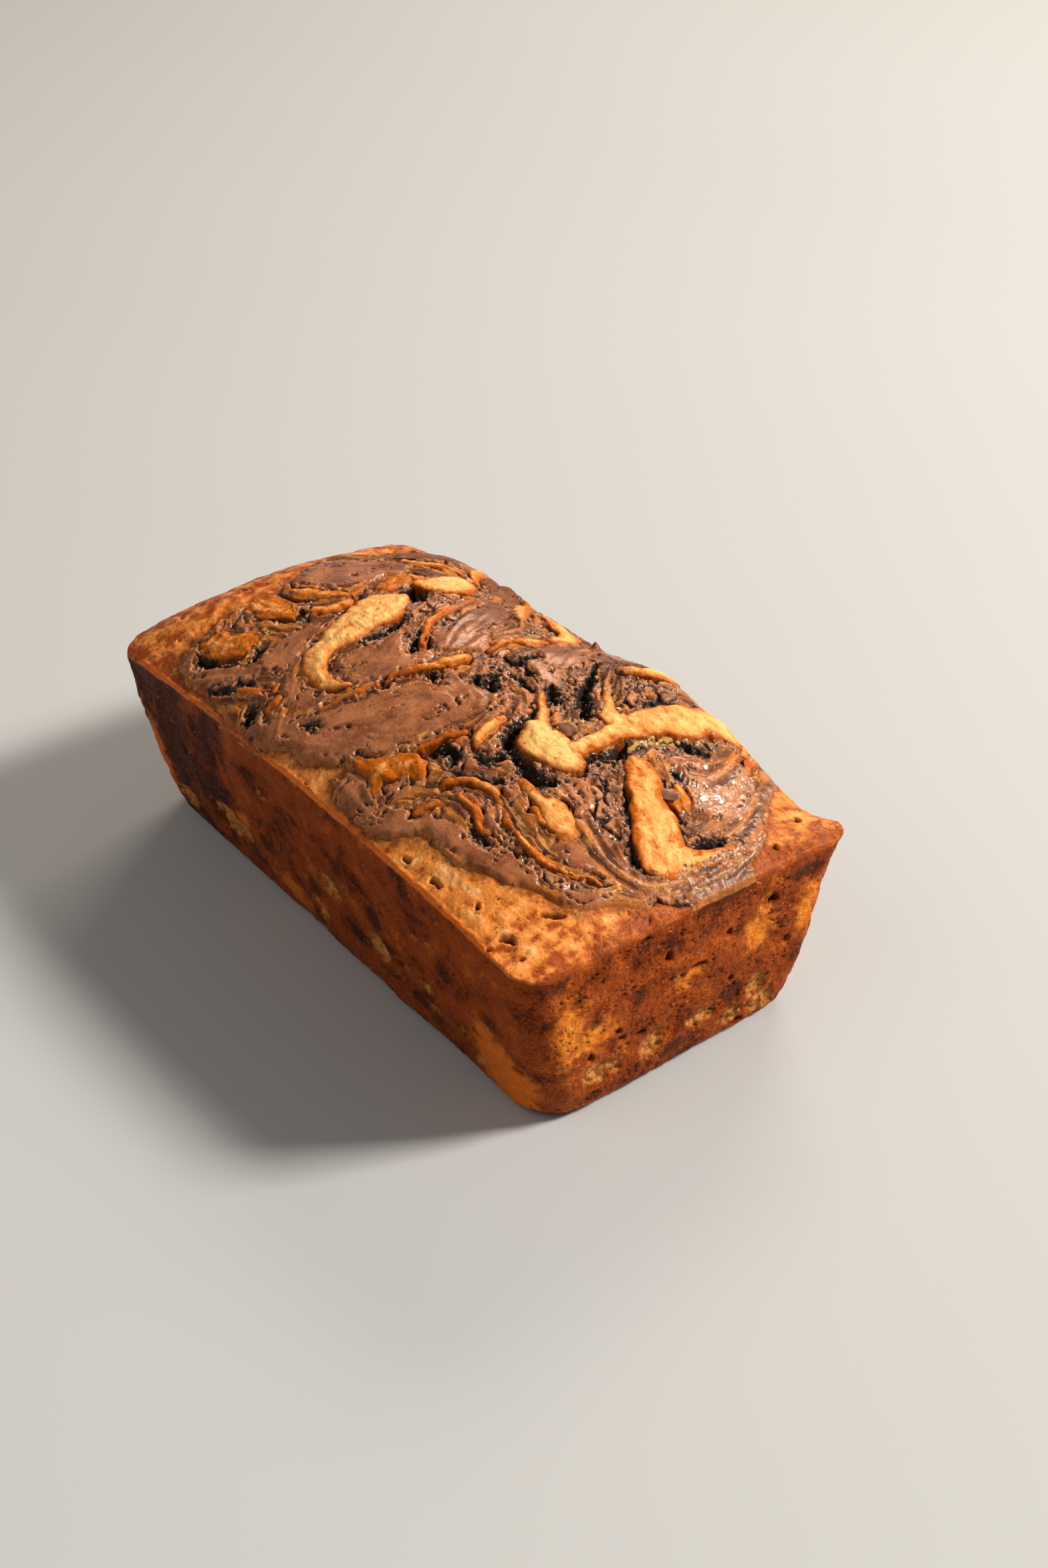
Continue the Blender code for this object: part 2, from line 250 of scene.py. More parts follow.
def domeHeight(x, y):
    form = loafForm
    endShare = np.clip(np.abs(x) / (form["rimLength"] / 2), 0.0, 1.0)
    sideShare = np.clip(np.abs(y) / (form["rimWidth"] / 2), 0.0, 1.0)
    endFall = np.where(x > 0.0, form["nearFall"], form["farFall"])
    lengthways = (1.0 - endShare**endFall) ** form["endFullness"]
    left = (1.0 - sideShare ** form["leftFall"]) ** form["leftFullness"]
    right = (1.0 - sideShare ** form["rightFall"]) ** form["rightFullness"]
    height = form["domeHeight"] * lengthways * np.where(y < 0.0, left, right)
    clearOfRim = (1.0 - endShare ** form["swellEndPower"]) * (1.0 - sideShare ** form["swellSidePower"])
    for swellX, swellY, rise, radiusX, radiusY in form["swells"]:
        height += rise * clearOfRim * np.exp(-(((x - swellX) / radiusX) ** 2) - ((y - swellY) / radiusY) ** 2)
    return height


# Unit direction away from the middle of the loaf at a place on its side.
def outward(x, y):
    insetX = loafForm["footLength"] / 2 - loafForm["footCorner"]
    insetY = loafForm["footWidth"] / 2 - loafForm["footCorner"]
    overX = x - np.clip(x, -insetX, insetX)
    overY = y - np.clip(y, -insetY, insetY)
    length = np.maximum(np.hypot(overX, overY), 1e-6)
    return overX / length, overY / length


# The torn flap of crust that stands out at one corner.
def flareFlap(points):
    flapX, flapY, reach, radius, lowest = loafForm["flap"]
    sideX, sideY = outward(points[:, 0], points[:, 1])
    near = np.exp(-(((points[:, 0] - flapX) / radius) ** 2) - ((points[:, 1] - flapY) / radius) ** 2)
    pull = reach * near * smoothStep(lowest, loafForm["cornerHeight"], points[:, 2])
    points[:, 0] += sideX * pull * loafForm["flapLengthways"]
    points[:, 1] += sideY * pull
    return points


# Marbling. Each stroke runs through points of x, y and half width.
# The tone before a batter stroke is 0 for pale batter and 1 for well baked.
batterStrokes = (
    (0.32, ((-41, 5, 6.5), (-39.5, -1, 8.5), (-37.5, -8, 7.2), (-36, -15, 6.8), (-35, -21, 5.2),
        (-33, -27, 4.6), (-28, -31, 3.5), (-22.5, -32.3, 2.6), (-17, -31, 1.9), (-13.8, -28.3, 1.2))),
    (0.34, ((-43, 34, 4), (-42, 29, 6.5), (-44, 23, 5), (-47, 19, 1.5))),
    (0.85, ((-77, -11, 1.6), (-72, -9, 3.6), (-66, -7.2, 4.2), (-60, -5.2, 3), (-55, -2.5, 1.8))),
    (0.9, ((-82, -20, 4), (-76, -20.5, 5.5), (-70, -20, 5.8), (-65, -19, 4.2), (-60, -18.8, 2))),
    (1, ((-73.5, -40, 4.5), (-68, -39, 6.2), (-62.5, -36.5, 5.8), (-59.5, -37, 3.5))),
    (0.85, ((-81, -25, 1), (-79.5, -28.5, 1.2), (-77, -31, 1.5), (-75, -34, 1.2))),
    (0.6, ((-50, -6, 2.6), (-52.5, -11, 3.2), (-55.5, -14, 1.6))),
    (0.7, ((-50, 22, 2.2), (-54.5, 19, 2.4), (-57.3, 14, 1.6), (-57, 9, 1), (-55.5, 4, 1), (-54, -1, 1.4))),
    (0.6, ((-31.5, 29, 0.8), (-28.5, 24, 1.1), (-26.5, 18.5, 1), (-25, 13, 1.5), (-23.5, 8.5, 1.6),
        (-20, 3.6, 1.3), (-16, -0.5, 1), (-12, -3.6, 0.9), (-9, -5.2, 0.6))),
    (0.62, ((1.5, 2, 2.6), (0, -3, 2.8), (-2, -8, 2), (-4, -13, 1.4), (-5.8, -18, 1), (-6.4, -20.5, 0.6))),
    (0.8, ((-7, -23, 1.2), (-9, -27, 1.3), (-10.5, -31, 1.1), (-12, -35, 1.2), (-13, -39, 0.8))),
    (0.55, ((5.5, 30, 1.2), (4.5, 25, 1.8), (2, 21, 1.6), (0.8, 17, 1.3), (1.2, 14, 1.2),
        (2.5, 11.5, 0.7))),
    (0.5, ((-30, 49, 1.5), (-27, 45, 2.5), (-23, 41, 2.6), (-18, 37.5, 2.2), (-13, 34, 1.6),
        (-11, 33, 0.8))),
    (0.45, ((-20, 49, 1.2), (-15, 47.5, 2.2), (-8, 46.5, 2.8), (-2, 44, 3.4), (1.5, 38, 3.2),
        (3.5, 33, 1.6))),
    (0.5, ((35.5, 36, 2.2), (38.5, 38.5, 3), (42, 43, 3), (41, 48, 3), (36, 52, 3))),
    (0.4, ((62, 57, 6.5), (61.5, 50, 6), (61, 43, 5), (60, 36, 5.8), (57.5, 29, 5.2), (55.5, 23, 4.8),
        (55, 17, 3.6), (55, 11, 3.2), (55.3, 5, 3), (55, 0, 3.2))),
    (0.2, ((51, 19, 4), (47.5, 19, 3), (44, 21.5, 1.8), (39, 25, 0.7))),
    (0, ((42.3, -2.7, 3.8), (47, -4.8, 6.4), (52.5, -4.3, 6.2), (58, -3.3, 4.2))),
    (0.3, ((30.5, 8, 1.2), (33.5, 5.5, 1.7), (37, 3.3, 1.9), (40, 0.8, 2), (43, -1, 2))),
    (0.66, ((68, 12.5, 3.4), (73, 10.5, 4.6), (79, 7.2, 5.4), (85, 4.5, 6.3), (91, 1.5, 7.4),
        (95, -1.5, 5.5))),
    (0.52, ((96, 3, 5), (98.5, 9, 3.2), (99.5, 15, 2), (98.7, 20, 1.2), (97.5, 24, 0.6))),
    (0.5, ((78.5, 18.3, 1.8), (82, 18, 1.8), (85.5, 16.5, 0.9))),
    (0.4, ((71.5, 56, 1), (74, 50, 1.4), (76.5, 46, 1.3), (78.5, 42.5, 1), (79, 40.5, 0.5))),
    (0.4, ((68, 53, 1.6), (71, 50.5, 1.2))),
    (0.5, ((55.5, -18.8, 1.4), (59, -18.2, 1.8), (63.5, -18.3, 2), (68, -18.2, 3.6), (73, -18.6, 4.3),
        (77, -19.2, 3.8))),
    (0.5, ((66.5, -22, 1.3), (70.5, -23, 1.2))),
    (0.55, ((41, -33.8, 1.3), (44.5, -30, 1.2), (49, -27.3, 1.5), (54, -26.3, 1.5), (58.5, -27, 1.4),
        (62.5, -28.8, 1.2), (66.5, -29.8, 0.6))),
    (0.5, ((68.5, -29.3, 0.9), (73, -30, 1.2), (79, -29.9, 1.3), (83, -28, 1.4), (87, -25.3, 1.2),
        (90.5, -22.8, 0.9), (94, -20.8, 0.9))),
    (0.6, ((48, -33, 0.8), (52.5, -33, 1), (56.5, -34, 1.2), (60, -35.8, 0.9))),
    (0.7, ((42.5, -43.6, 1.2), (44.5, -40.5, 1.9), (47, -38.7, 1.3))),
    (1, ((12.5, -43.7, 1.3), (17.5, -43, 2.4), (22.5, -41.8, 3.6), (25, -38, 4), (29, -36, 3.4),
        (33.5, -36, 2.2))),
    (0.7, ((23.5, -44, 2.4), (26, -46.8, 1.6))),
    (0.65, ((24.3, -33, 0.7), (25.2, -29, 1.1), (26.7, -25, 1), (28, -21.5, 1.6), (29.8, -18.3, 0.8))),
    (0.35, ((32.8, -7, 0.8), (33.2, -11.5, 2.1), (33.2, -15, 1.9), (35, -18, 1.6), (37, -20.3, 0.8))),
    (0.85, ((-44, -47.5, 1), (-41, -47, 1.6), (-38, -45, 1), (-35, -43, 0.6))),
    (0.85, ((-34, -41, 1), (-33, -43, 0.8))),
    (0.85, ((-29.5, -44, 1.2), (-28, -47, 1.8), (-26.5, -49, 0.9))),
    (1.35, ((-52, 19, 2.4), (-52.5, 14, 4), (-51, 9.5, 3))),
    (1.3, ((79, 15.5, 1.8), (83, 14.5, 2))),
    (0.6, ((-91, 12, 1), (-86, 18, 1.8), (-80, 23.5, 2.2), (-72, 28.5, 2.4), (-64, 30.5, 2.6), (-57, 34, 2),
        (-51, 38, 1.2))),
    (0.7, ((-92, 33, 1.2), (-86, 46, 2.6), (-78, 53, 2.8), (-69, 56, 1.6))),
    (0.6, ((-58, 55, 1.4), (-54, 48, 3), (-50, 43, 2.2), (-44, 40, 1.2))),
)

# Smooth chocolate skins, as closed outlines of x and y.
poolOutlines = (
    ((-85, 3), (-82, -5), (-77, -7.5), (-71, -4), (-66, -1), (-61, 6), (-59, 14), (-58, 22), (-64, 26),
        (-72, 25), (-80, 20), (-87, 12)),
    ((-50, -30), (-49, -20), (-45, -17.5), (-42, -22), (-39, -28), (-37, -33), (-38, -37), (-44, -38),
        (-49, -38)),
    ((-77, -46), (-72, -49), (-63, -48), (-57, -45), (-50, -42), (-46, -40), (-44, -44), (-50, -49),
        (-57, -52), (-67, -53), (-74, -51)),
    ((-29, 42), (-25, 38), (-20, 34), (-16, 31), (-12, 27), (-10, 21), (-6, 16), (-1, 13), (1, 10), (-3, 6),
        (-6, 2), (-9, 0), (-14, 1.5), (-18, 4), (-20, 9), (-19, 14), (-22, 20), (-24, 27), (-28, 33),
        (-32, 38)),
    ((-24, -3), (-21, -5), (-17, -8.5), (-14, -7), (-10, -5), (-6, -2), (-5.5, -8), (-8, -14), (-7.5, -20),
        (-9, -26), (-12, -26.5), (-18, -27.5), (-24, -25), (-26, -20), (-24, -14), (-24, -8)),
    ((-37, -37), (-30, -36.5), (-24, -36), (-17, -34), (-14, -32.5), (-13.5, -37), (-17, -41), (-22, -43),
        (-28, -42), (-33, -39)),
    ((27, 2), (22, 2.5), (20, -2), (14, -4), (6, -5), (4, -8), (10, -10), (8, -13), (3, -15), (0, -22),
        (-5, -30), (-9, -37), (-14, -43), (-20, -46), (-30, -50), (-28, -54), (-17, -55), (-11, -52),
        (-2, -52), (5, -49), (10, -45), (14, -40), (22, -33), (24, -27), (24, -18), (26, -8)),
    ((6, 24), (6, 30), (10, 34), (20, 34), (23, 29), (24, 25), (22, 21), (15, 22)),
    ((14, 11), (14, 19), (20, 20), (26, 18), (27, 15), (26, 11)),
    ((64, -2), (69, -5), (73, -9), (75, -12), (70, -12.5), (64.5, -12), (63.5, -7)),
    ((79, 47), (84, 42), (87, 37), (91, 31), (91, 26), (88, 22), (82, 21), (77, 24), (78, 30), (82, 35),
        (81, 41), (79, 45)),
    ((70, 32), (74, 31), (75, 25), (72, 22), (69, 24)),
    ((-88, 29), (-80, 33), (-70, 34), (-62, 37), (-58, 44), (-64, 52), (-76, 51), (-86, 43)),
    ((-46, 44), (-38, 42), (-34, 47), (-36, 55), (-46, 56), (-52, 51)),
    ((8, 44), (16, 40), (26, 41), (32, 47), (28, 55), (14, 56), (7, 50)),
)
# Smooth chocolate ribbons between the batter, as strokes.
ribbonStrokes = (
    ((14, -50.5, 2), (22, -51, 3), (31, -52, 3), (39, -50.3, 3.3), (45, -46.5, 3.6), (52, -43.7, 3),
        (60, -42.7, 3.4), (67, -41.5, 3.5), (73, -39, 3.2), (79, -37.5, 2.6), (83, -36.8, 1.5)),
    ((79.5, -24, 1.2), (83.5, -22, 2.4), (88, -20.5, 1.4)),
    ((97, -21, 1.3), (97, -25, 1.6), (95.5, -29, 1.4), (92.5, -31, 1.5)),
    ((56, -29.8, 1.2), (60, -31.2, 1.9), (63.5, -32.6, 1)),
    ((35, -5, 1.3), (37, -10, 1.2), (38, -16, 1.4), (40, -19, 1.2), (41, -24, 1.8)),
    ((31, -41, 2.4), (31, -45, 2.2)),
    ((53, -22.3, 1.6), (58, -21.8, 1)),
    ((38, 22, 1.2), (41, 19, 1.6), (45, 16.5, 1.2)),
)
# Glossy rippled chocolate round the near right end.
rippleStrokes = (
    ((84, 50, 3), (92, 40, 4), (98, 30, 4.5), (101.5, 15, 4), (101.5, 3, 4), (99, -9, 3), (90, -14.5, 2.5),
        (80, -12, 2)),
    ((80, 42, 5), (84, 34, 7), (83, 26, 6)),
)
# Torn crevices down to dark crumb.
creviceStrokes = (
    ((-44.5, 17, 1.5), (-43, 14, 2.8), (-40, 15, 2.5), (-38, 11, 1.2)),
    ((-52, 0, 2), (-50, -3, 1.5), (-47, -6, 1), (-45.5, -9, 0.8)),
    ((-31, 3, 0.9), (-29, -1, 1), (-27, -4.5, 0.9), (-27, -12, 0.9)),
    ((-20, 1.5, 0.6), (-17, -2, 1), (-14.5, -5, 1.3), (-12.5, -6.3, 0.9)),
    ((-16, 1.5, 0.5), (-13, -0.8, 0.8), (-11, -2.2, 0.5)),
    ((11.5, 20, 1), (11.8, 16, 1.6), (12, 12.5, 1.4), (8, 12.5, 0.8)),
    ((19, 12.5, 0.9), (16.5, 13, 0.5)),
    ((14, 4, 1.2), (16, 1, 2.2), (18, -0.5, 2), (14, -2.5, 1), (11, -1, 1.2)),
    ((17, 8.3, 0.6), (21, 7.6, 0.8), (25, 8, 0.7), (27, 8, 0.5)),
    ((25, 33, 0.6), (28, 30, 0.9), (31, 26.5, 1.2), (33.5, 22.5, 1.8), (36.5, 19, 1.6), (40, 16, 2.2),
        (43, 14.5, 1.6), (45, 12.5, 1.2)),
    ((28, 14, 1), (31, 12, 1.5), (34, 10, 1.4)),
    ((36, 1.5, 1.2), (38.5, 0, 1.3), (38, -4, 1.8), (39.5, -8, 2.2), (41, -11.5, 2.2), (43, -13.5, 1.6),
        (50, -13.5, 1.6), (54, -14.5, 2), (58, -14, 2), (61, -12.5, 1.5)),
    ((26, -32, 1.2), (28, -28.5, 2.2), (31, -26.2, 1.8), (34, -25.4, 1.6), (37, -27.5, 1.2)),
    ((42.5, -30.5, 0.7), (46, -27.3, 0.8), (49.5, -24.5, 0.7), (52, -22.3, 0.5)),
    ((39.5, -20.5, 0.8), (43, -21, 0.8), (45, -17, 1.2)),
    ((74.5, 3.5, 0.8), (77, 2, 1.6), (80, 0.3, 1), (83, -2.2, 0.5)),
    ((88, -5.5, 0.6), (90.5, -8, 1.3), (93, -9, 0.9)),
    ((59.5, 15, 1.2), (61, 11.5, 1.8), (61.5, 8, 1.6), (60, 4, 1), (60, 0, 1.2), (62.5, -3, 1)),
    ((70, 36, 1.2), (68.5, 33.5, 1), (66.5, 31, 1.5)),
    ((74, 21.5, 1.3), (76, 22, 1)),
    ((84.5, 12, 0.9), (86.5, 11.6, 0.7)),
    ((96.5, 18.5, 1), (95.5, 15.5, 1.6), (94.8, 12, 1)),
    ((54, 36.5, 1), (52, 33.5, 1.3), (50.5, 31.5, 1)),
    ((107.3, -2, 0.9), (105.5, -7, 0.8), (104, -11, 0.6)),
    ((60, -37.5, 0.5), (66, -37, 0.7)),
    ((-71, -47, 0.7), (-67, -47.5, 1.4), (-62.5, -44.5, 1.4), (-57, -41.5, 0.9)),
    ((-77, -13.5, 0.7), (-74, -14.3, 1), (-66, -13, 1.2), (-62, -11.5, 0.7)),
    ((-69, -26, 0.8), (-64, -23.5, 1), (-59, -21.5, 1.2), (-56, -18, 1.2), (-58.5, -16, 0.6)),
    ((-53, -34, 0.8), (-51.5, -38, 1)),
    ((-48, -46.5, 1), (-43, -44.5, 0.6)),
    ((-54, -52.5, 0.6), (-50.5, -50.5, 1.5), (-48.5, -49.5, 0.8)),
    ((-33.5, -51, 1.8), (-32, -53, 1.2)),
    ((-12, -44.5, 0.6), (-9, -43.5, 0.5)),
    ((-6, -21, 0.9), (-4, -22, 1)),
    ((4, -9.5, 1), (2, -10, 1.2), (-1, -10.5, 0.6)),
)
# Crumbly, broken chocolate.
roughStrokes = (
    ((-36, 38, 3), (-33, 26, 3.2), (-31, 14, 3), (-28, 4, 2.4), (-27, -8, 2)),
    ((-9, 42, 4), (-4, 39, 5), (-2, 30, 3.6)),
    ((3, 14, 2.5), (8, 10, 4), (16, 6, 4.5), (22, 10, 4), (27, 18, 3)),
    ((27, 30, 3), (32, 22, 4), (36, 12, 4), (35, 3, 3.2), (38, -8, 3.6), (42, -14, 3)),
    ((42, 33, 4), (47, 40, 5), (51, 34, 4), (48, 28, 3)),
    ((44, -12, 4), (52, -13, 4), (59, -12, 4), (62, -4, 4), (63, 6, 4), (63, 15, 3)),
    ((70, 0, 3.4), (76, -6, 4), (83, -10, 3)),
    ((66, 24, 3.5), (69, 34, 3.2), (66, 44, 3), (70, 50, 2.4)),
    ((75, 23, 3), (84, 13, 3), (92, 10, 3.4)),
    ((68, -33, 2.6), (78, -33.5, 2.8), (88, -29, 2.6), (95, -24, 2.4)),
    ((24, -31, 2.6), (31, -26, 3), (37, -23, 2.8)),
    ((-54, -19, 2.8), (-60, -15, 2.2), (-68, -13, 1.8)),
    ((-58, -42, 1.8), (-68, -47, 1.8)),
    ((-60, 40, 3), (-54, 44, 3.4), (-50, 52, 3)),
    ((-30, 54, 3), (-20, 55, 3.4), (-8, 52, 3)),
)
# Thin laminations of both batters.
laminateStrokes = (
    ((34, -45, 2.6), (44, -40, 4.4), (56, -36, 5), (70, -33, 4), (84, -28, 3.4), (95, -18, 3.4)),
    ((-66, -27, 4), (-58, -30, 5), (-52, -38, 4)),
    ((-62, 26, 4), (-56, 30, 4)),
    ((20, -33, 2), (26, -22, 2)),
    ((64, 40, 2), (76, 50, 3)),
    ((-26, 10, 2), (-10, -7, 2)),
)
# Underbaked crumb that shows greenish yellow in the tears.
freshStrokes = (
    ((51, 21, 1.6), (47, 22, 1.6), (42, 25, 1.2)),
    ((66, 35, 1), (63.5, 27, 1.5), (61, 18, 1.5), (59.5, 10, 1.2)),
    ((-44, 16.5, 1.6), (-41, 13, 1.2)),
    ((-3, 31.5, 1.3), (0, 27, 1)),
    ((32, 27, 1), (34, 23, 1)),
    ((46.5, 10.5, 1), (44.5, 7, 1)),
)
swirlEdge = (
    (-97, 28), (-95, 18), (-90, 8), (-85, 0), (-83, -7), (-79, -12.5), (-81, -22), (-80.5, -33),
    (-79.5, -40), (-81.5, -43), (-79, -48), (-74, -52.5), (-66, -54), (-52, -54.5), (-40, -57),
    (-22, -57.5), (-17, -55), (-11, -52.3), (-2, -52.5), (5, -49.5), (10, -46.5), (14, -48.5), (11, -51),
    (17, -54), (28, -55.5), (38, -55), (43, -52), (48, -47.5), (55, -46), (67, -45.5), (72, -42.5),
    (79, -40.3), (84, -37), (88, -34.5), (93, -34), (96.5, -30.5), (98.5, -24), (99.5, -20), (102, -14.5),
    (105, -8), (107.5, -2), (110, 4), (110, 20), (105, 24.5), (100.5, 30.5), (94, 38), (88, 45), (82, 52),
    (78, 58), (40, 60), (0, 60), (-40, 60), (-70, 58), (-76, 54), (-84, 49), (-92, 42), (-96, 34),
)

swirl = {
    "chocolateCell": 0.30, "batterCell": 0.29,  # grid spacing
    "wander": ((6.5, 1.0), (2.5, 0.45)),        # size and reach of the unevenness of every outline
    "ragSize": 1.1, "ragReach": 0.16,           # of the finest unevenness
    "lift": 1.1, "liftWidth": 0.9, "dive": 1.6, # how it stands over the crust, and slopes under it outside
    "flushFrom": 92.0, "flushShare": 0.75,      # where it lies nearly level with the crust
    "fold": 0.42, "fineFold": 0.16, "crease": 0.45,                             # drawn between the pools
    "poolLift": 0.30, "poolWave": 0.42, "poolFold": 0.13, "rentDepth": 0.8,     # smooth pools
    "ripple": 0.38,                                                             # wrinkled melt
    "roughSink": 0.35, "pitDepth": 0.85, "crumble": 1.0, "lump": 0.5,           # torn crumb
    "plateSize": 4.6, "plateStretch": 1.5, "plateStep": 0.9, "plateTilt": 0.45, # plates of broken skin
    "gapDepth": 1.1,
    "creviceDepth": 4.4, "creviceRough": 2.0,
    "batterLift": 0.55, "batterSwell": 0.75, "batterSpread": 2.0,               # pale lobes
    "shoulderWidth": 1.5, "shoulderDrop": 0.8, "batterLean": 0.3, "batterDive": 3.2,
    "batterWrinkle": 0.52, "batterUneven": 0.25, "bubbleDepth": 0.6,
    "poolSink": 0.6, "poolMeet": 0.45, "seamDepth": 0.7,    # how pools and lobes run into each other
    "overlap": 1.3,             # how far the chocolate reaches under the plain crust
    "rimLine": 0.7,             # width of the plain crust left along the rim
}
# Rough lumps that stand up along the far side, as x, y, height, radius.
crags = (
    (-40, 50, 2.4, 3), (-36, 51.5, 1.4, 1.5), (-30, 49, 2.2, 1.3), (9, 46, 3.2, 1.5), (12.5, 44, 1.4, 1.8),
)

batterShapes = [stroke for tone, stroke in batterStrokes]
batterTones = np.array([tone for tone, stroke in batterStrokes])


# What is read often is worked out once, on a flat grid over the top.
topGrid = {"spacing": 0.3, "flowSpacing": 3.0, "halfLength": 114.0, "halfWidth": 63.0, "walkStep": 0.8}
drawnKinds = {                  # width of a streak, seed, how far it is drawn out each way
    "folds": (2.4, 48, 8.0), "fineFolds": (1.15, 49, 4.0),
    "bands": (3.8, 50, 13.6), "streaks": (1.8, 51, 10.4),
}


def gridPlaces(spacing):
    reachX = topGrid["halfLength"]
    reachY = topGrid["halfWidth"]
    stepsX = round(2 * reachX / spacing) + 1
    stepsY = round(2 * reachY / spacing) + 1
    placesX = np.linspace(-reachX, reachX, stepsX)
    placesY = np.linspace(-reachY, reachY, stepsY)
    return np.meshgrid(placesX, placesY, indexing="ij")


def gridRead(values, x, y, spacing=topGrid["spacing"]):
    u = np.clip((x + topGrid["halfLength"]) / spacing, 0.0, values.shape[0] - 1.001)
    v = np.clip((y + topGrid["halfWidth"]) / spacing, 0.0, values.shape[1] - 1.001)
    column = u.astype(int)
    row = v.astype(int)
    u = u - column
    v = v - row
    low = values[column, row] * (1.0 - u) + values[column + 1, row] * u
    high = values[column, row + 1] * (1.0 - u) + values[column + 1, row + 1] * u
    return low * (1.0 - v) + high * v


# The direction in which the batters were drawn, as a doubled angle from the strokes near by.
def makeFlow():
    gridX, gridY = gridPlaces(topGrid["flowSpacing"])
    cosine = np.zeros_like(gridX)
    sine = np.zeros_like(gridX)
    for stroke in (*batterShapes, *ribbonStrokes, *rippleStrokes, *creviceStrokes):
        curve = smoothCurve(stroke, 2)
        for start, end in zip(curve[:-1], curve[1:]):
            run = end[:2] - start[:2]
            length = np.hypot(*run)
            middle = (start + end) / 2
            weight = length / ((gridX - middle[0]) ** 2 + (gridY - middle[1]) ** 2 + 6.0) ** 1.5
            cosine += weight * (run[0] ** 2 - run[1] ** 2) / length**2
            sine += weight * 2.0 * run[0] * run[1] / length**2
    size = np.hypot(cosine, sine)
    return cosine / size, sine / size


flow = makeFlow()


def flowAt(x, y):
    cosine, sine = (gridRead(values, x, y, topGrid["flowSpacing"]) for values in flow)
    angle = np.arctan2(sine, cosine) / 2
    return np.cos(angle), np.sin(angle)


# Noise drawn out along the flow into streaks, about -1..1.
def drawnNoise(x, y):
    shape = gridPlaces(topGrid["spacing"])[0].shape
    plain = {}
    totals = {}
    for label, (size, seed, reach) in drawnKinds.items():
        totals[label] = gradientNoise(flatPlaces(x, y), size, seed)
        plain[label] = totals[label].reshape(shape).copy()
    step = topGrid["walkStep"]
    longest = max(reach for size, seed, reach in drawnKinds.values())
    for way in (step, -step):
        placeX = x
        placeY = y
        runX, runY = flowAt(x, y)
        runX = runX * way
        runY = runY * way
        for walked in np.arange(step, longest + step / 2, step):
            placeX = placeX + runX
            placeY = placeY + runY
            nextX, nextY = flowAt(placeX, placeY)
            turn = np.where(nextX * runX + nextY * runY < 0.0, -step, step)
            runX = nextX * turn
            runY = nextY * turn
            for label, (size, seed, reach) in drawnKinds.items():
                if walked <= reach:
                    totals[label] = totals[label] + gridRead(plain[label], placeX, placeY)
    return {label: 0.4 * total / total.std() for label, total in totals.items()}


def makeTopFields():
    gridX, gridY = gridPlaces(topGrid["spacing"])
    x = gridX.ravel()
    y = gridY.ravel()
    places = flatPlaces(x, y)
    fields = drawnNoise(x, y)
    unevenX = x.copy()
    unevenY = y.copy()
    for number, (size, reach) in enumerate(swirl["wander"]):
        unevenX += reach * gradientNoise(places, size, 44 + number)
        unevenY += reach * gradientNoise(places, size, 144 + number)
    fields["batter"], owner = strokeDepth(unevenX, unevenY, batterShapes)
    fields["tone"] = batterTones[owner]
    ragged = swirl["ragReach"] * gradientNoise(places, swirl["ragSize"], 46)
    fields["gold"] = fields["batter"] + ragged + 0.4 * fields["streaks"]
    pool = np.max([outlineDepth(unevenX, unevenY, outline) for outline in poolOutlines], axis=0)
    pool = np.maximum(pool, strokeDepth(unevenX, unevenY, ribbonStrokes)[0])
    fields["pool"] = pool + 0.8 + 0.5 * fields["folds"]
    fields["ripple"] = strokeDepth(unevenX, unevenY, rippleStrokes)[0]
    fields["crevice"] = strokeDepth(unevenX, unevenY, creviceStrokes)[0] + 0.3
    fields["rough"] = strokeDepth(unevenX, unevenY, roughStrokes)[0]
    fields["laminate"] = strokeDepth(unevenX, unevenY, laminateStrokes)[0]
    fields["gold"] += 0.9 * fields["fineFolds"] * smoothStep(-1.0, 1.5, fields["laminate"])
    fields["fresh"] = strokeDepth(unevenX, unevenY, freshStrokes)[0]
    fields["edge"] = outlineDepth(unevenX, unevenY, swirlEdge) + ragged + 0.9 * fields["folds"]
    rimLine = swirl["rimLine"] * (1.0 + 0.9 * gradientNoise(places, 9.0, 79)) * smoothStep(104.0, 92.0, x)
    fields["edge"] = np.minimum(fields["edge"], distanceToRim(x, y) - rimLine)
    fields = {label: values.reshape(gridX.shape) for label, values in fields.items()}
    fields["slopeX"], fields["slopeY"] = np.gradient(fields["batter"], topGrid["spacing"])
    return fields


print("stage: fields of the marbled top")
topFields = makeTopFields()


def readTop(x, y):
    return {label: gridRead(values, x, y) for label, values in topFields.items()}


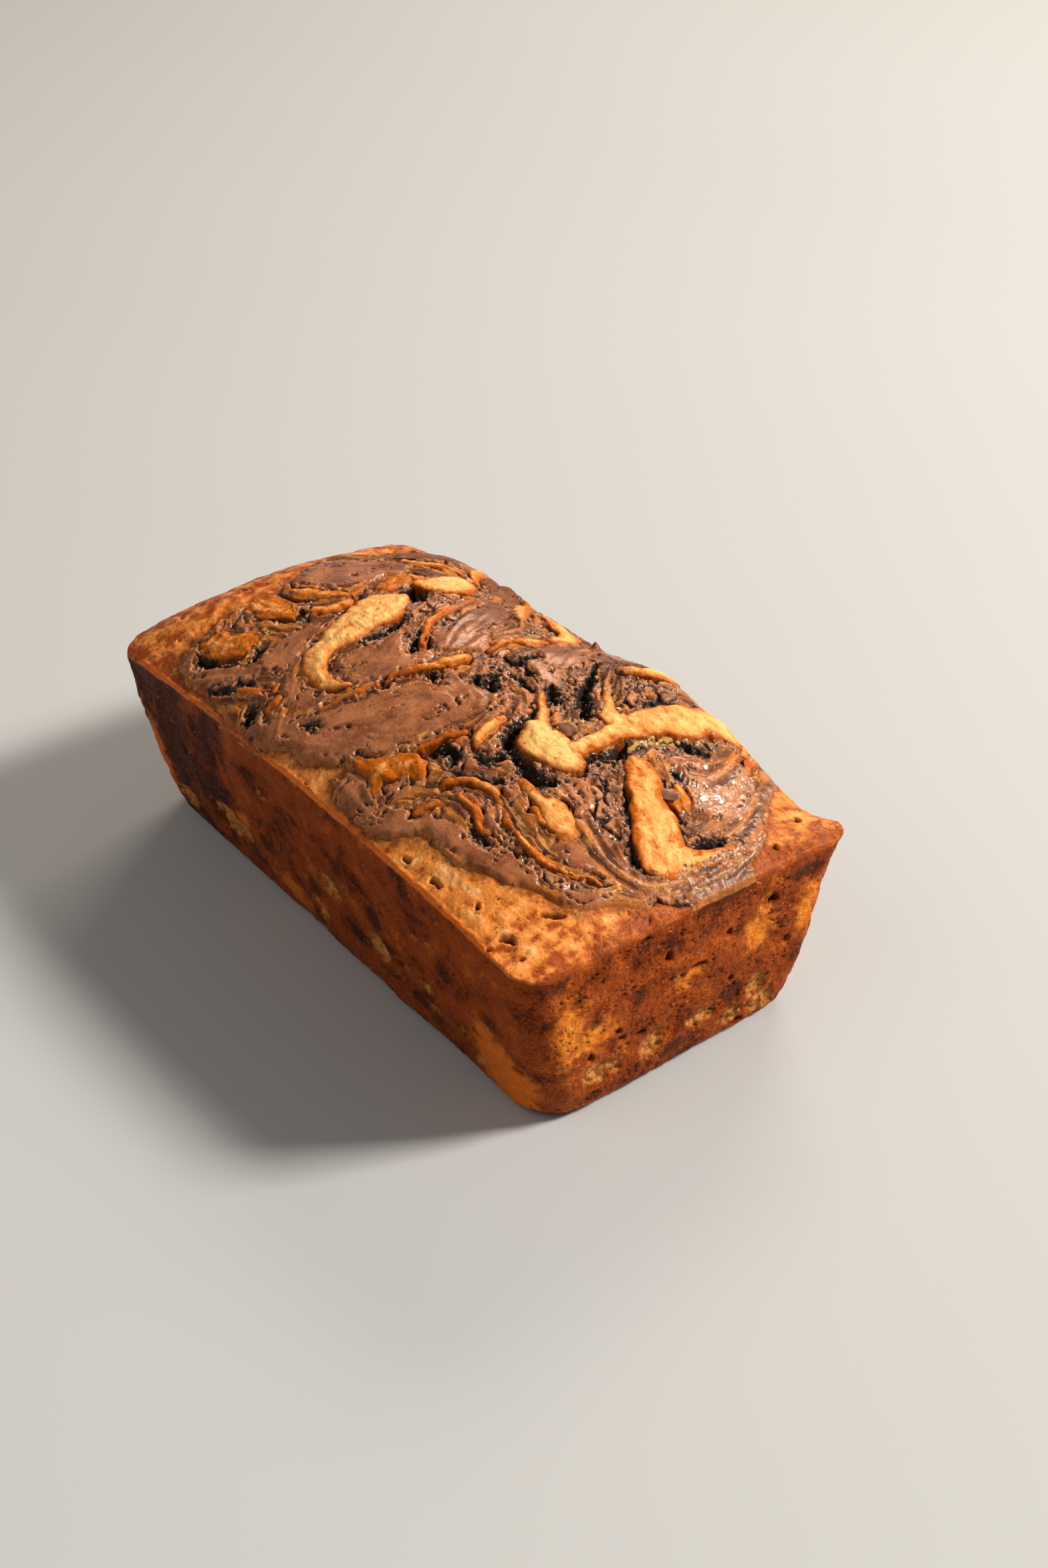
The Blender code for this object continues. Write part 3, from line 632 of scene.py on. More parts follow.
# Uneven plates: distance to the plate's edge, place across it, and two values of its own.
def brokenPlates(x, y, size, stretch, seed):
    random = np.random.default_rng(seed)
    middles = random.random((256, 2))
    own = random.random((256, 2))
    table = random.permutation(256)
    runX, runY = flowAt(x, y)
    places = flatPlaces(x, y)
    x = x + 0.8 * gradientNoise(places, 2.8, seed + 1) + 0.25 * gradientNoise(places, 1.1, seed + 2)
    y = y + 0.8 * gradientNoise(places, 2.8, seed + 3) + 0.25 * gradientNoise(places, 1.1, seed + 4)
    column = np.floor(x / size).astype(int)
    row = np.floor(y / size).astype(int)
    first = np.full(len(x), 99.0)
    second = np.full(len(x), 99.0)
    side = np.zeros(len(x))
    owner = np.zeros(len(x), int)
    reach = math.ceil(stretch)
    for stepU in range(-reach, reach + 1):
        for stepV in range(-reach, reach + 1):
            pick = table[(column + stepU + table[(row + stepV) % 256]) % 256]
            awayX = (column + stepU + middles[pick, 0]) * size - x
            awayY = (row + stepV + middles[pick, 1]) * size - y
            across = awayY * runX - awayX * runY
            away = np.hypot((awayX * runX + awayY * runY) / stretch, across)
            closer = away < first
            second = np.where(closer, first, np.minimum(second, away))
            owner = np.where(closer, pick, owner)
            side = np.where(closer, across, side)
            first = np.minimum(first, away)
    return second - first, side, own[owner, 0], own[owner, 1]


def domeWithCrags(x, y):
    height = rimHeight(x, y) + domeHeight(x, y)
    for cragX, cragY, rise, radius in crags:
        height += rise * np.exp(-((x - cragX) ** 2 + (y - cragY) ** 2) / radius**2)
    return height


# The swirl stands over the plain crust, and dives under it outside its own edge.
def edgeLift(x, y, edge):
    form = swirl
    nearRim = 0.35 + 0.65 * smoothStep(0.0, 4.0, distanceToRim(x, y))
    flush = smoothStep(form["flushFrom"] - 12.0, form["flushFrom"] + 6.0, x + 0.35 * y)
    inward = 1.0 - np.exp(-np.clip(edge, 0.0, None) / form["liftWidth"])
    lift = form["lift"] * (1.0 - form["flushShare"] * flush) * inward * nearRim
    return lift - form["dive"] * np.clip(-edge, 0.0, None)


def crumbRelief(x, y, places, fine, wander):
    form = swirl
    pits = pitShape(x + 0.35 * fine, y + 0.3 * wander, 1.55, 59, 0.3, 0.85, 0.85)
    lumps = form["lump"] * layeredNoise(places, 3.0, 53)
    lumps += form["crumble"] * (ridgedNoise(places, 1.9, 54, 2) - 0.72)
    return lumps - form["pitDepth"] * pits, pits


def chocolateShape(x, y):
    form = swirl
    places = flatPlaces(x, y)
    top = readTop(x, y)
    gold = top["gold"]
    folds = top["folds"]
    fineFolds = top["fineFolds"]
    fine = gradientNoise(places, 1.2, 42)
    wander = gradientNoise(places, 3.1, 47)
    broad = gradientNoise(places, 7.5, 61)

    wrinkled = smoothStep(-1.2, 2.0, top["ripple"] + 0.6 * wander)
    smooth = smoothStep(-0.6, 0.9, top["pool"] + 0.4 * fine)
    torn = smoothStep(-0.8, 0.9, top["crevice"] + 0.6 * fine + 0.4 * wander)
    besideGold = smoothStep(2.3, 0.8, -gold + 0.9 * wander) * smoothStep(-0.12, 0.1, broad)
    rough = np.maximum(besideGold, smoothStep(-1.0, 1.0, top["rough"] + 1.2 * wander) * (1.0 - smooth))
    rough = np.maximum(rough, smoothStep(-2.4, -0.7, top["crevice"] + 0.6 * wander)) * (1.0 - 0.8 * wrinkled)
    rough = np.maximum(rough, smoothStep(-1.0, 0.3, top["fresh"]))
    tornEdge = np.exp(-(((top["pool"] + 0.3 + 0.5 * fine) / 0.9) ** 2)) * (1.0 - wrinkled)
    rough = np.maximum(rough, tornEdge * smoothStep(-0.05, 0.2, gradientNoise(places, 6.0, 80)))

    chosen = rough > 0.01
    plates = np.ones((4, len(x)))
    plates[:, chosen] = brokenPlates(x[chosen], y[chosen], form["plateSize"], form["plateStretch"], 55)
    gap, side, luck, fate = plates
    shard = smoothStep(-0.05, 0.2, gradientNoise(places, 5.5, 66))
    split = 1.0 - smoothStep(0.2, 0.75, gap + 0.3 * fine)
    shards = form["plateStep"] * (luck - 0.4) + form["plateTilt"] * (fate - 0.5) * side + 0.15 * folds
    crumbs, pits = crumbRelief(x, y, places, fine, wander)
    broken = (shards - form["gapDepth"] * split) * shard + crumbs * (1.0 - shard) - form["roughSink"]

    crease = np.exp(-(((folds + 0.2) / 0.08) ** 2)) * smoothStep(-0.15, 0.25, gradientNoise(places, 5.0, 67))
    drawn = form["fold"] * folds + form["fineFold"] * fineFolds - form["crease"] * crease
    rent = smoothStep(0.19, 0.07, np.abs(top["bands"] - 0.1 + 0.25 * fine))
    rent += smoothStep(0.13, 0.05, np.abs(folds + 0.1))
    rent *= smoothStep(-0.05, 0.15, gradientNoise(places, 2.6, 68))
    nearMargin = 0.3 * smoothStep(5.0, 1.0, top["pool"])
    rent *= smoothStep(0.12, 0.3, gradientNoise(places, 7.0, 64) + nearMargin - 0.1)
    rent = np.clip(rent, 0.0, 1.0)
    leather = 0.6 * layeredNoise(places, 3.4, 69, 2) + 0.5 * ridgedNoise(places, 1.8, 77, 2)
    pooled = form["poolLift"] + form["poolWave"] * broad + form["poolFold"] * (1.4 * folds + 0.45 * leather)
    pooled -= form["rentDepth"] * rent
    ripples = wrinkled * form["ripple"] * (0.9 * folds + 0.5 * fineFolds + 0.8 * wander)
    relief = (drawn * (1.0 - smooth) + pooled * smooth + ripples) * (1.0 - rough) + broken * rough
    relief += form["poolMeet"] * smoothStep(-3.0, -0.2, gold) * (1.0 - rough)
    seam = np.exp(-(((gold + 0.35) / 0.35) ** 2)) * smoothStep(0.0, 0.3, gradientNoise(places, 4.5, 78))
    relief -= form["seamDepth"] * seam
    deep = np.clip(top["crevice"] / 2.2, 0.25, 1.0)
    relief -= torn * (form["creviceDepth"] * deep + form["creviceRough"] * layeredNoise(places, 2.0, 74))
    toRim = distanceToRim(x, y)
    relief *= (0.5 + 0.5 * smoothStep(0.0, 4.0, toRim)) * smoothStep(-0.8, 0.8, top["edge"])
    z = domeWithCrags(x, y) + relief + edgeLift(x, y, top["edge"])
    skin = 1.0 - rough * (1.0 - shard * (1.0 - split))
    # Hollows are crevices, tears, creases, plate gaps, pits and the seam by the lobes. The material darkens
    # them: painted shade over the dark crumb.
    shadedHollow = torn + rough * (shard * split + 0.8 * (1.0 - shard) * pits)
    shadedHollow += (0.55 * crease * (1.0 - smooth) + 0.7 * rent * smooth) * (1.0 - rough) + 0.6 * seam
    fields = {
        "gold": gold, "skin": skin, "pool": smooth, "gloss": wrinkled, "relief": relief,
        "shadedHollow": np.clip(shadedHollow, 0.0, 1.0),
        "plate": rough * shard * luck,
        "dull": smoothStep(87.0, 98.0, x) * smoothStep(34.0, 12.0, y),
        # Far right slope: painted shade leaves the pale skin patches out there; it is also rougher and less
        # coated.
        "shadedSlope": smoothStep(12.0, 34.0, y) * smoothStep(30.0, 0.0, x),
        "streak": top["streaks"], "bands": top["bands"], "folds": folds,
        "edge": top["edge"], "laminate": top["laminate"], "fresh": top["fresh"],
        "lamina": -gold + 0.9 * wander,
    }
    return x, y, z, fields


def batterShape(x, y):
    form = swirl
    places = flatPlaces(x, y)
    top = readTop(x, y)
    gold = top["gold"]
    over = np.clip(gold / form["shoulderWidth"], 0.0, 1.0)
    rise = form["batterLift"] * (0.8 + 0.9 * gradientNoise(places, 8.0, 70)) * smoothStep(-75.0, -45.0, x)
    rise = rise + form["batterSwell"] * (1.0 - np.exp(-np.clip(gold, 0.0, None) / form["batterSpread"]))
    besidePool = smoothStep(-3.0, 0.5, np.maximum(top["pool"], top["ripple"] + 1.0))
    besidePool *= 1.0 - smoothStep(-3.0, -0.5, top["crevice"])
    besidePool = np.maximum(besidePool, smoothStep(-45.0, -70.0, x))
    rise -= form["shoulderDrop"] * (1.0 - np.sqrt(1.0 - (1.0 - over) ** 2)) * (1.0 - 0.6 * besidePool)
    rise -= form["batterDive"] * np.clip(-gold, 0.0, None)
    wrinkles = 0.8 * gradientNoise(places, 3.0, 71) + 0.9 * ridgedNoise(places, 1.7, 72, 2)
    wrinkles = wrinkles + 0.3 * top["folds"] - 0.6
    rise -= form["poolSink"] * besidePool * smoothStep(-0.8, 0.3, gold)
    uneven = form["batterUneven"] * gradientNoise(places, 6.0, 76)
    rise += form["batterWrinkle"] * wrinkles * smoothStep(0.0, 1.2, gold) + uneven
    bubbles = pitShape(x, y, 2.6, 73, 0.12, 0.45, 0.4) * smoothStep(0.9, 1.6, gold)
    rise -= form["bubbleDepth"] * bubbles
    toRim = distanceToRim(x, y)
    rise *= 0.45 + 0.55 * smoothStep(0.0, 4.0, toRim)
    z = domeWithCrags(x, y) + rise + edgeLift(x, y, np.maximum(top["edge"], 0.0))
    lean = form["batterLean"] * smoothStep(-0.1, 0.5, gold) * (1.0 - smoothStep(0.5, 1.8, gold))
    lean *= smoothStep(0.3, 2.0, toRim)
    shadedHollow = np.clip(bubbles, 0.0, 1.0)
    fields = {"gold": gold, "tone": top["tone"], "shadedHollow": shadedHollow, "wrinkles": wrinkles}
    return x - top["slopeX"] * lean, y - top["slopeY"] * lean, z, fields


rimCrust = {
    "cell": 0.37,
    "lumpHeight": 0.5, "lumpSize": 12.0,
    "rippleHeight": 0.30, "rippleSize": 4.6, "foldHeight": 0.10,
    "beadHeight": 0.30, "beadWidth": 0.6,       # raised line along the rim
    "pitDepth": 0.7,
    "underSwirl": 0.9,                          # how far it drops under the swirl
    "overlap": 3.0,
    "holes": (                                  # x, y, half width: bubbles that burst
        ((91.5, -39, 0.5), (93.5, -37, 1.0), (95, -34.6, 0.4)),
        ((90.5, -51.5, 0.9), (92.5, -49.5, 1.1)),
        ((62, -53, 0.7), (65, -53, 0.6)), ((50, -53.7, 0.5), (52, -53.6, 0.6)),
        ((78, -50, 0.6), (78.6, -50.2, 0.6)),
        ((98.5, -51.5, 0.5), (98.8, -51.2, 0.5)), ((90.3, -56, 0.5), (90.8, -55.8, 0.5)),
        ((-92, -18, 0.6), (-91, -17.5, 0.7)), ((-98, -38, 0.6), (-97, -38.4, 0.6)),
        ((-88, -45, 0.5), (-87, -45.3, 0.5)), ((102, 34, 0.5), (102.8, 33.6, 0.6)),
        ((95, 48, 0.6), (96, 47.6, 0.6)),
    ),
    "holeDepth": 2.0, "lipHeight": 0.35,
    "farShade": 1.0, "veinShade": 3.6, "endShade": 0.6,        # how much darker in these places
}


def rimCrustShape(x, y):
    form = rimCrust
    places = flatPlaces(x, y)
    top = readTop(x, y)
    relief = form["lumpHeight"] * gradientNoise(places, form["lumpSize"], 81)
    shade = layeredNoise(places, form["rippleSize"], 82, 4, 0.55)
    relief += form["rippleHeight"] * shade + form["foldHeight"] * top["folds"]
    dimples = smoothStep(-0.4, -0.8, gradientNoise(places, 1.7, 84) + 0.5 * gradientNoise(places, 3.6, 83))
    pits = pitShape(x, y, 3.4, 85, 0.2, 0.5, 0.35)
    relief -= form["pitDepth"] * (pits + 0.35 * dimples)
    holes = strokeDepth(x, y, form["holes"], 3.0)[0] + 0.6 * gradientNoise(places, 1.7, 86)
    hole = smoothStep(-0.35, 0.45, holes)
    lip = np.exp(-(((holes + 0.8) / 0.45) ** 2)) * smoothStep(0.0, 0.5, gradientNoise(places, 4.0, 87))
    relief += form["lipHeight"] * lip - form["holeDepth"] * hole
    toRim = distanceToRim(x, y)
    relief *= 0.15 + 0.85 * smoothStep(0.0, 1.0, toRim)
    atEnd = smoothStep(90.0, 104.0, np.abs(x))
    bead = np.exp(-(((toRim - 0.7) / form["beadWidth"]) ** 2)) * (1.0 + 1.2 * gradientNoise(places, 4.0, 88))
    bead *= 1.0 - 0.8 * atEnd
    relief += form["beadHeight"] * bead
    relief -= form["underSwirl"] * smoothStep(-0.6, 1.4, top["edge"])
    z = rimHeight(x, y) + domeHeight(x, y) + relief
    shadedHollow = np.clip(0.75 * pits + hole + 0.3 * dimples, 0.0, 1.0)
    veins = ridgedNoise(flatPlaces(x, 0.2 * y), 4.0, 89, 2) - 0.62
    shade = shade - form["farShade"] * smoothStep(-30.0, -80.0, x)
    shade = shade - form["veinShade"] * veins * smoothStep(72.0, 98.0, x)
    uneven = 1.0 + 1.3 * gradientNoise(places, 6.0, 90)
    shade -= form["endShade"] * atEnd * smoothStep(8.0, 0.0, toRim) * uneven
    wallReach = 2.0 + 5.0 * smoothStep(-50.0, -5.0, y)
    wallLike = 1.0 - (loafForm["rimLength"] / 2 - x) / wallReach
    fields = {
        "wallLike": wallLike, "shadedHollow": shadedHollow, "edge": top["edge"], "bands": top["bands"],
        "rimDistance": toRim + 4.0 * atEnd, "shade": shade + lip,
    }
    return x, y, z, fields


# A mesh from places in millimetres, kept within the box of the solid.
def meshPiece(name, points, faces, fields=None):
    low = np.array(cadBox[0]) / metre
    high = np.array(cadBox[1]) / metre
    mesh = bpy.data.meshes.new(name)
    mesh.from_pydata((np.clip(points, low, high) * metre).tolist(), [], faces)
    for label, values in (fields or {}).items():
        layer = mesh.attributes.new(label, "FLOAT", "POINT")
        layer.data.foreach_set("value", np.asarray(values, np.float32))
    mesh.shade_smooth()
    piece = bpy.data.objects.new(name, mesh)
    bpy.context.scene.collection.objects.link(piece)
    return piece


skirtInset = 4.0


# Carries the open border of a sheet down to a level inside the loaf and closes it there.
def closeBelow(piece, level):
    shape = bmesh.new()
    shape.from_mesh(piece.data)
    border = [edge for edge in shape.edges if edge.is_boundary]
    made = bmesh.ops.extrude_edge_only(shape, edges=border)["geom"]
    border = [item for item in made if isinstance(item, bmesh.types.BMEdge) and item.is_boundary]
    for corner in {corner for edge in border for corner in edge.verts}:
        sideX, sideY = outward(np.array([corner.co.x / metre]), np.array([corner.co.y / metre]))
        corner.co.x -= skirtInset * metre * sideX[0]
        corner.co.y -= skirtInset * metre * sideY[0]
        corner.co.z = level * metre
    bmesh.ops.triangle_fill(shape, use_beauty=False, use_dissolve=False, edges=border)
    bmesh.ops.recalc_face_normals(shape, faces=shape.faces)
    shape.to_mesh(piece.data)
    shape.free()


# Smooth normals of a sheet of quads.
def cornerNormals(points, faces):
    across = points[faces[:, 2]] - points[faces[:, 0]]
    along = points[faces[:, 3]] - points[faces[:, 1]]
    facing = np.cross(across, along)
    normals = np.zeros((len(points), 3))
    for axis in range(3):
        for turn in range(4):
            normals[:, axis] += np.bincount(faces[:, turn], facing[:, axis], len(points))
    return normals / np.maximum(np.linalg.norm(normals, axis=1, keepdims=True), 1e-12)


# A sheet over the top of the loaf, in one or more parts that meet without a visible seam.
def gridSheet(name, cell, level, isKept, shapeOf, parts=1):
    columns = round(loafForm["rimLength"] / cell)
    rows = round(loafForm["rimWidth"] / cell)
    across, along = np.meshgrid(np.linspace(-1, 1, columns + 1), np.linspace(-1, 1, rows + 1))
    x, y = rimPoint(across.ravel(), along.ravel())
    kept = isKept(x, y)
    corner = np.arange(len(x)).reshape(rows + 1, columns + 1)
    quads = np.stack((corner[:-1, :-1], corner[:-1, 1:], corner[1:, 1:], corner[1:, :-1]), axis=-1)
    quads = quads.reshape(-1, 4)
    quads = quads[kept[quads].all(axis=1)]
    column = quads[:, 0] % (columns + 1)
    used, faces = np.unique(quads, return_inverse=True)
    faces = faces.reshape(-1, 4)
    x, y, z, fields = shapeOf(x[used], y[used])
    points = flareFlap(np.column_stack((x, y, z)))
    normals = cornerNormals(points, faces)
    borders = np.quantile(column, np.linspace(0, 1, parts + 1)[1:-1])
    part = np.searchsorted(borders, column)
    pieces = []
    for number in range(parts):
        own, local = np.unique(faces[part == number], return_inverse=True)
        label = name if parts == 1 else name + str(number + 1)
        ownFields = {kind: values[own] for kind, values in fields.items()}
        piece = meshPiece(label, points[own], local.reshape(-1, 4).tolist(), ownFields)
        closeBelow(piece, level)
        if parts > 1:
            given = np.zeros((len(piece.data.vertices), 3))
            given[: len(own)] = normals[own]
            piece.data.normals_split_custom_set_from_vertices(given.tolist())
        pieces.append(piece)
    return pieces


def isChocolate(x, y):
    return (gridRead(topFields["edge"], x, y) > -swirl["overlap"]) & (gridRead(topFields["gold"], x, y) < 1.7)


def isBatter(x, y):
    return (gridRead(topFields["gold"], x, y) > -0.85) & (gridRead(topFields["edge"], x, y) > -2.5)


def isRimCrust(x, y):
    return gridRead(topFields["edge"], x, y) < rimCrust["overlap"]


# Sides and foot. Marks are given as place along the side, height, half length, half height.
tinSides = {
    "seenCell": 0.45, "hiddenCell": 0.75, "rows": 102, "footRows": 8,
    "unevenHeight": 0.42, "unevenSize": 6.0,
    "pitDepth": 0.8,
    "tornDepth": 0.9,
    "holeDepth": 2.2,
    "tone": 0.38,                               # how well baked: 0 pale, 1 dark
    # The left side is darker, partly more baked and partly painted shade, the more so towards the far end.
    "nearEndDarker": 0.16, "leftBakedAndShaded": 0.22, "farBakedAndShaded": 0.46, "hiddenDarker": 0.14,
    "fineHeight": 0.1, "fineSize": 1.9, "grainHeight": 0.16, "grainSize": 1.3, "tornRough": 0.6,
    "markSizes": {                              # half length and half height on the unseen sides
        "torn": (5.0, 4.0), "glow": (6.5, 5.5), "smudge": (3.5, 3.0), "holes": (1.4, 1.0),
    },
}
nearEndMarks = {
    "torn": ((-29, 15, 6.5, 4.5), (-12, 15.5, 4.5, 5.5), (7, 15, 5, 3.2), (20, 8.5, 5, 3.4),
        (28, 16, 4, 4.5), (31, 8, 4.5, 5)),
    "glow": ((-43, 36, 5.5, 11), (-34, 30, 7, 6), (-1, 34, 4.5, 3), (25, 40, 5, 7), (46, 38, 6, 9),
        (50, 20, 4, 9)),
    "smudge": ((-33, 36, 2.2, 1.6), (-40, 47, 2.2, 1.6), (18, 19, 4.2, 4.5), (-3, 9, 5, 2.4),
        (-18, 37, 3, 4), (-31, 6, 3, 1.8), (17, 43, 2, 2), (-50, 55, 7, 3), (10, 57, 12, 2.5),
        (42, 52, 6, 3)),
    "holes": ((29.5, 47, 1.7, 1.5), (-8.5, 46, 1.2, 1.8), (3, 37, 2.6, 0.9), (14, 43, 1, 1.2),
        (-16, 22, 1.4, 0.8), (-23, 24, 1, 0.8), (-34, 23, 0.9, 1.2), (22, 4.5, 1.8, 0.8),
        (-25, 28, 0.8, 0.8), (37, 29, 0.8, 1), (16, 25, 0.8, 0.7), (-17, 56.5, 1.1, 0.6)),
}
leftSideMarks = {
    "torn": ((-86, 11, 6, 5), (-52, 20, 12, 5.5), (-3, 15, 5, 5), (8, 31, 6, 5), (31, 22, 6, 5),
        (75.5, 9, 3, 4), (55, 25, 3, 3), (56, 16, 2.4, 2), (68.5, 17, 1.8, 3), (43, 24, 3, 2),
        (62, 44.5, 1.6, 1.2), (54, 41.5, 1.4, 1.2), (18.5, 36, 1.5, 1.4), (33, 54, 1.3, 1),
        (41, 45, 1.3, 1.2), (-24, 46, 3, 1)),
    "glow": ((88, 14, 14, 13), (82, 26, 5, 5), (-98, 20, 8, 20), (-40, 27, 4, 3), (-20, 12, 10, 6)),
    "smudge": ((32, 34, 4, 5), (67, 37, 4, 2.6), (-73, 37, 2.5, 2.6), (-3, 24, 2.6, 4), (86, 32, 3.6, 2.4),
        (-60, 27, 8, 3), (-30, 24, 4, 4), (-80, 23, 4, 3), (-5, 48, 4, 2), (20, 20, 8, 3)),
    "holes": ((54.5, 24.6, 1.6, 0.7), (68.5, 18, 1.2, 0.6), (41, 22.5, 1.6, 0.7), (77, 22, 0.9, 1.2),
        (96, 21, 1.8, 1), (37, 39, 1.2, 0.7), (-73, 37, 1, 0.9)),
}


def wallOutline(across, along, height):
    form = loafForm
    share = np.clip(height / form["cornerHeight"], 0.0, 1.0)
    bulge = form["wallBulge"] * np.sin(np.pi * share)
    low = np.clip(form["footRounding"] - height, 0.0, form["footRounding"])
    tuck = form["footRounding"] - np.sqrt(form["footRounding"] ** 2 - low**2)
    halfLength = (form["footLength"] + share * (form["rimLength"] - form["footLength"])) / 2 + bulge - tuck
    halfWidth = (form["footWidth"] + share * (form["rimWidth"] - form["footWidth"])) / 2 + bulge - tuck
    corner = form["footCorner"] + share * (form["rimCorner"] - form["footCorner"])
    return outlinePoint(across, along, halfLength, halfWidth, corner)


# Marks for a side that the photograph doesn't show, of the same kinds and sizes.
def randomMarks(seed, halfLength, counts):
    random = np.random.default_rng(seed)
    marks = {}
    for kind, count in counts.items():
        halfAlong, halfUp = tinSides["markSizes"][kind]
        places = []
        for number in range(count):
            along = (2.0 * (number + random.random()) / count - 1.0) * halfLength
            height = random.uniform(6.0, 26.0 if kind == "torn" else 52.0)
            scale = random.uniform(0.5, 1.3)
            places.append((along, height, halfAlong * scale, halfUp * scale))
        marks[kind] = tuple(places)
    return marks


# How deep each place lies in any of the marks, with an uneven edge.
def markShape(along, height, marks, facing):
    best = np.full(len(along), -9.0)
    for markAlong, markHeight, halfLength, halfHeight in marks:
        near = np.hypot((along - markAlong) / halfLength, (height - markHeight) / halfHeight)
        best = np.maximum(best, (1.0 - near) * min(halfLength, halfHeight))
    return best - 12.0 * smoothStep(0.85, 0.5, facing)


# Depths inside the torn, glowing, smudged and hollow marks of all four sides.
def wallMarks(points):
    x, y, z = points.T
    sideX, sideY = outward(x, y)
    half = loafForm["rimLength"] / 2
    quarter = loafForm["rimWidth"] / 2
    sides = (
        (nearEndMarks, y, sideX),
        (leftSideMarks, x, -sideY),
        (randomMarks(5, half * 0.9, {"torn": 13, "glow": 7, "smudge": 12, "holes": 9}), x, sideY),
        (randomMarks(6, quarter * 0.85, {"torn": 6, "glow": 4, "smudge": 7, "holes": 6}), y, -sideX),
    )
    wobble = 1.3 * layeredNoise(points, 4.0, 91) + 0.4 * gradientNoise(points, 1.3, 94)
    found = {}
    for kind, rag in (("torn", 1.1), ("glow", 2.2), ("smudge", 1.2), ("holes", 0.3)):
        depths = [markShape(along, z, marks[kind], facing) for marks, along, facing in sides]
        found[kind] = np.max(depths, axis=0) + rag * wobble
    return found


# Places on the sides: rowShare runs from 0 at the rim to 1 where the wall meets the flat foot.
def wallShape(across, along, rowShare):
    rimX, rimY = rimPoint(across, along)
    rounding = loafForm["footRounding"]
    straight = tinSides["rows"] / (tinSides["rows"] + tinSides["footRows"])
    top = rimHeight(rimX, rimY)
    turn = np.clip((rowShare - straight) / (1.0 - straight), 0.0, 1.0) * np.pi / 2
    z = np.where(
        rowShare <= straight,
        top + (rounding - top) * rowShare / straight,
        rounding * (1.0 - np.sin(turn)),
    )
    x, y = wallOutline(across, along, z)
    sideX, sideY = outward(x, y)
    places = np.column_stack((x, y, z))
    lump = loafForm["wallLump"] * gradientNoise(places, loafForm["wallLumpSize"], loafForm["noiseSeed"] + 1)
    lump *= smoothStep(0.0, 0.2, rowShare)
    marks = wallMarks(places)
    uneven = tinSides["unevenHeight"] * layeredNoise(places, tinSides["unevenSize"], 95)
    fine = tinSides["fineHeight"] * gradientNoise(places, tinSides["fineSize"], 98)
    sideNumber = np.round(np.arctan2(sideY, sideX) / (np.pi / 2))
    girth = np.where(np.abs(sideX) > np.abs(sideY), y, x) + 300.0 * sideNumber
    pits = pitShape(girth + 4.0 * fine, 1.4 * z, 2.2, 99, 0.25, 0.85, 0.65)
    coarse = 0.4 + 0.6 * smoothStep(0.3, 0.9, np.abs(sideX))
    pits *= coarse * smoothStep(-0.35, 0.35, gradientNoise(places, 9.0, 102))
    grain = tinSides["grainHeight"] * gradientNoise(places, tinSides["grainSize"], 103)
    torn = smoothStep(-0.3, 0.9, marks["torn"])
    hole = smoothStep(-0.45, 0.45, marks["holes"])
    crumb = torn * (tinSides["tornRough"] * layeredNoise(places, 2.6, 101) - tinSides["tornDepth"])
    out = lump + uneven + fine + grain + crumb - tinSides["pitDepth"] * pits - tinSides["holeDepth"] * hole
    out *= smoothStep(0.0, 2.5, z) * (0.1 + 0.9 * smoothStep(0.0, 1.5, top - z))
    x = x + sideX * out
    y = y + sideY * out
    onLeft = smoothStep(0.3, 0.9, -sideY)
    tone = tinSides["nearEndDarker"] * smoothStep(0.3, 0.9, sideX) * smoothStep(-45.0, -25.0, y)
    tone = tinSides["tone"] + tone
    # Left side darker, most of all towards the far end: partly baked so, partly painted shade.
    tone = tone + tinSides["leftBakedAndShaded"] * onLeft
    tone = tone + tinSides["hiddenDarker"] * smoothStep(0.3, 0.9, sideY)
    tone = tone + tinSides["farBakedAndShaded"] * smoothStep(30.0, 90.0, -x) * onLeft
    fields = {
        "torn": marks["torn"], "glow": marks["glow"], "smudge": marks["smudge"],
        "shadedHollow": np.clip(0.7 * pits + hole, 0.0, 1.0), "tone": tone, "coarse": coarse,
        "below": top - z + 3.0 * smoothStep(0.3, 0.9, np.abs(sideX)),
    }
    return flareFlap(np.column_stack((x, y, z))), fields


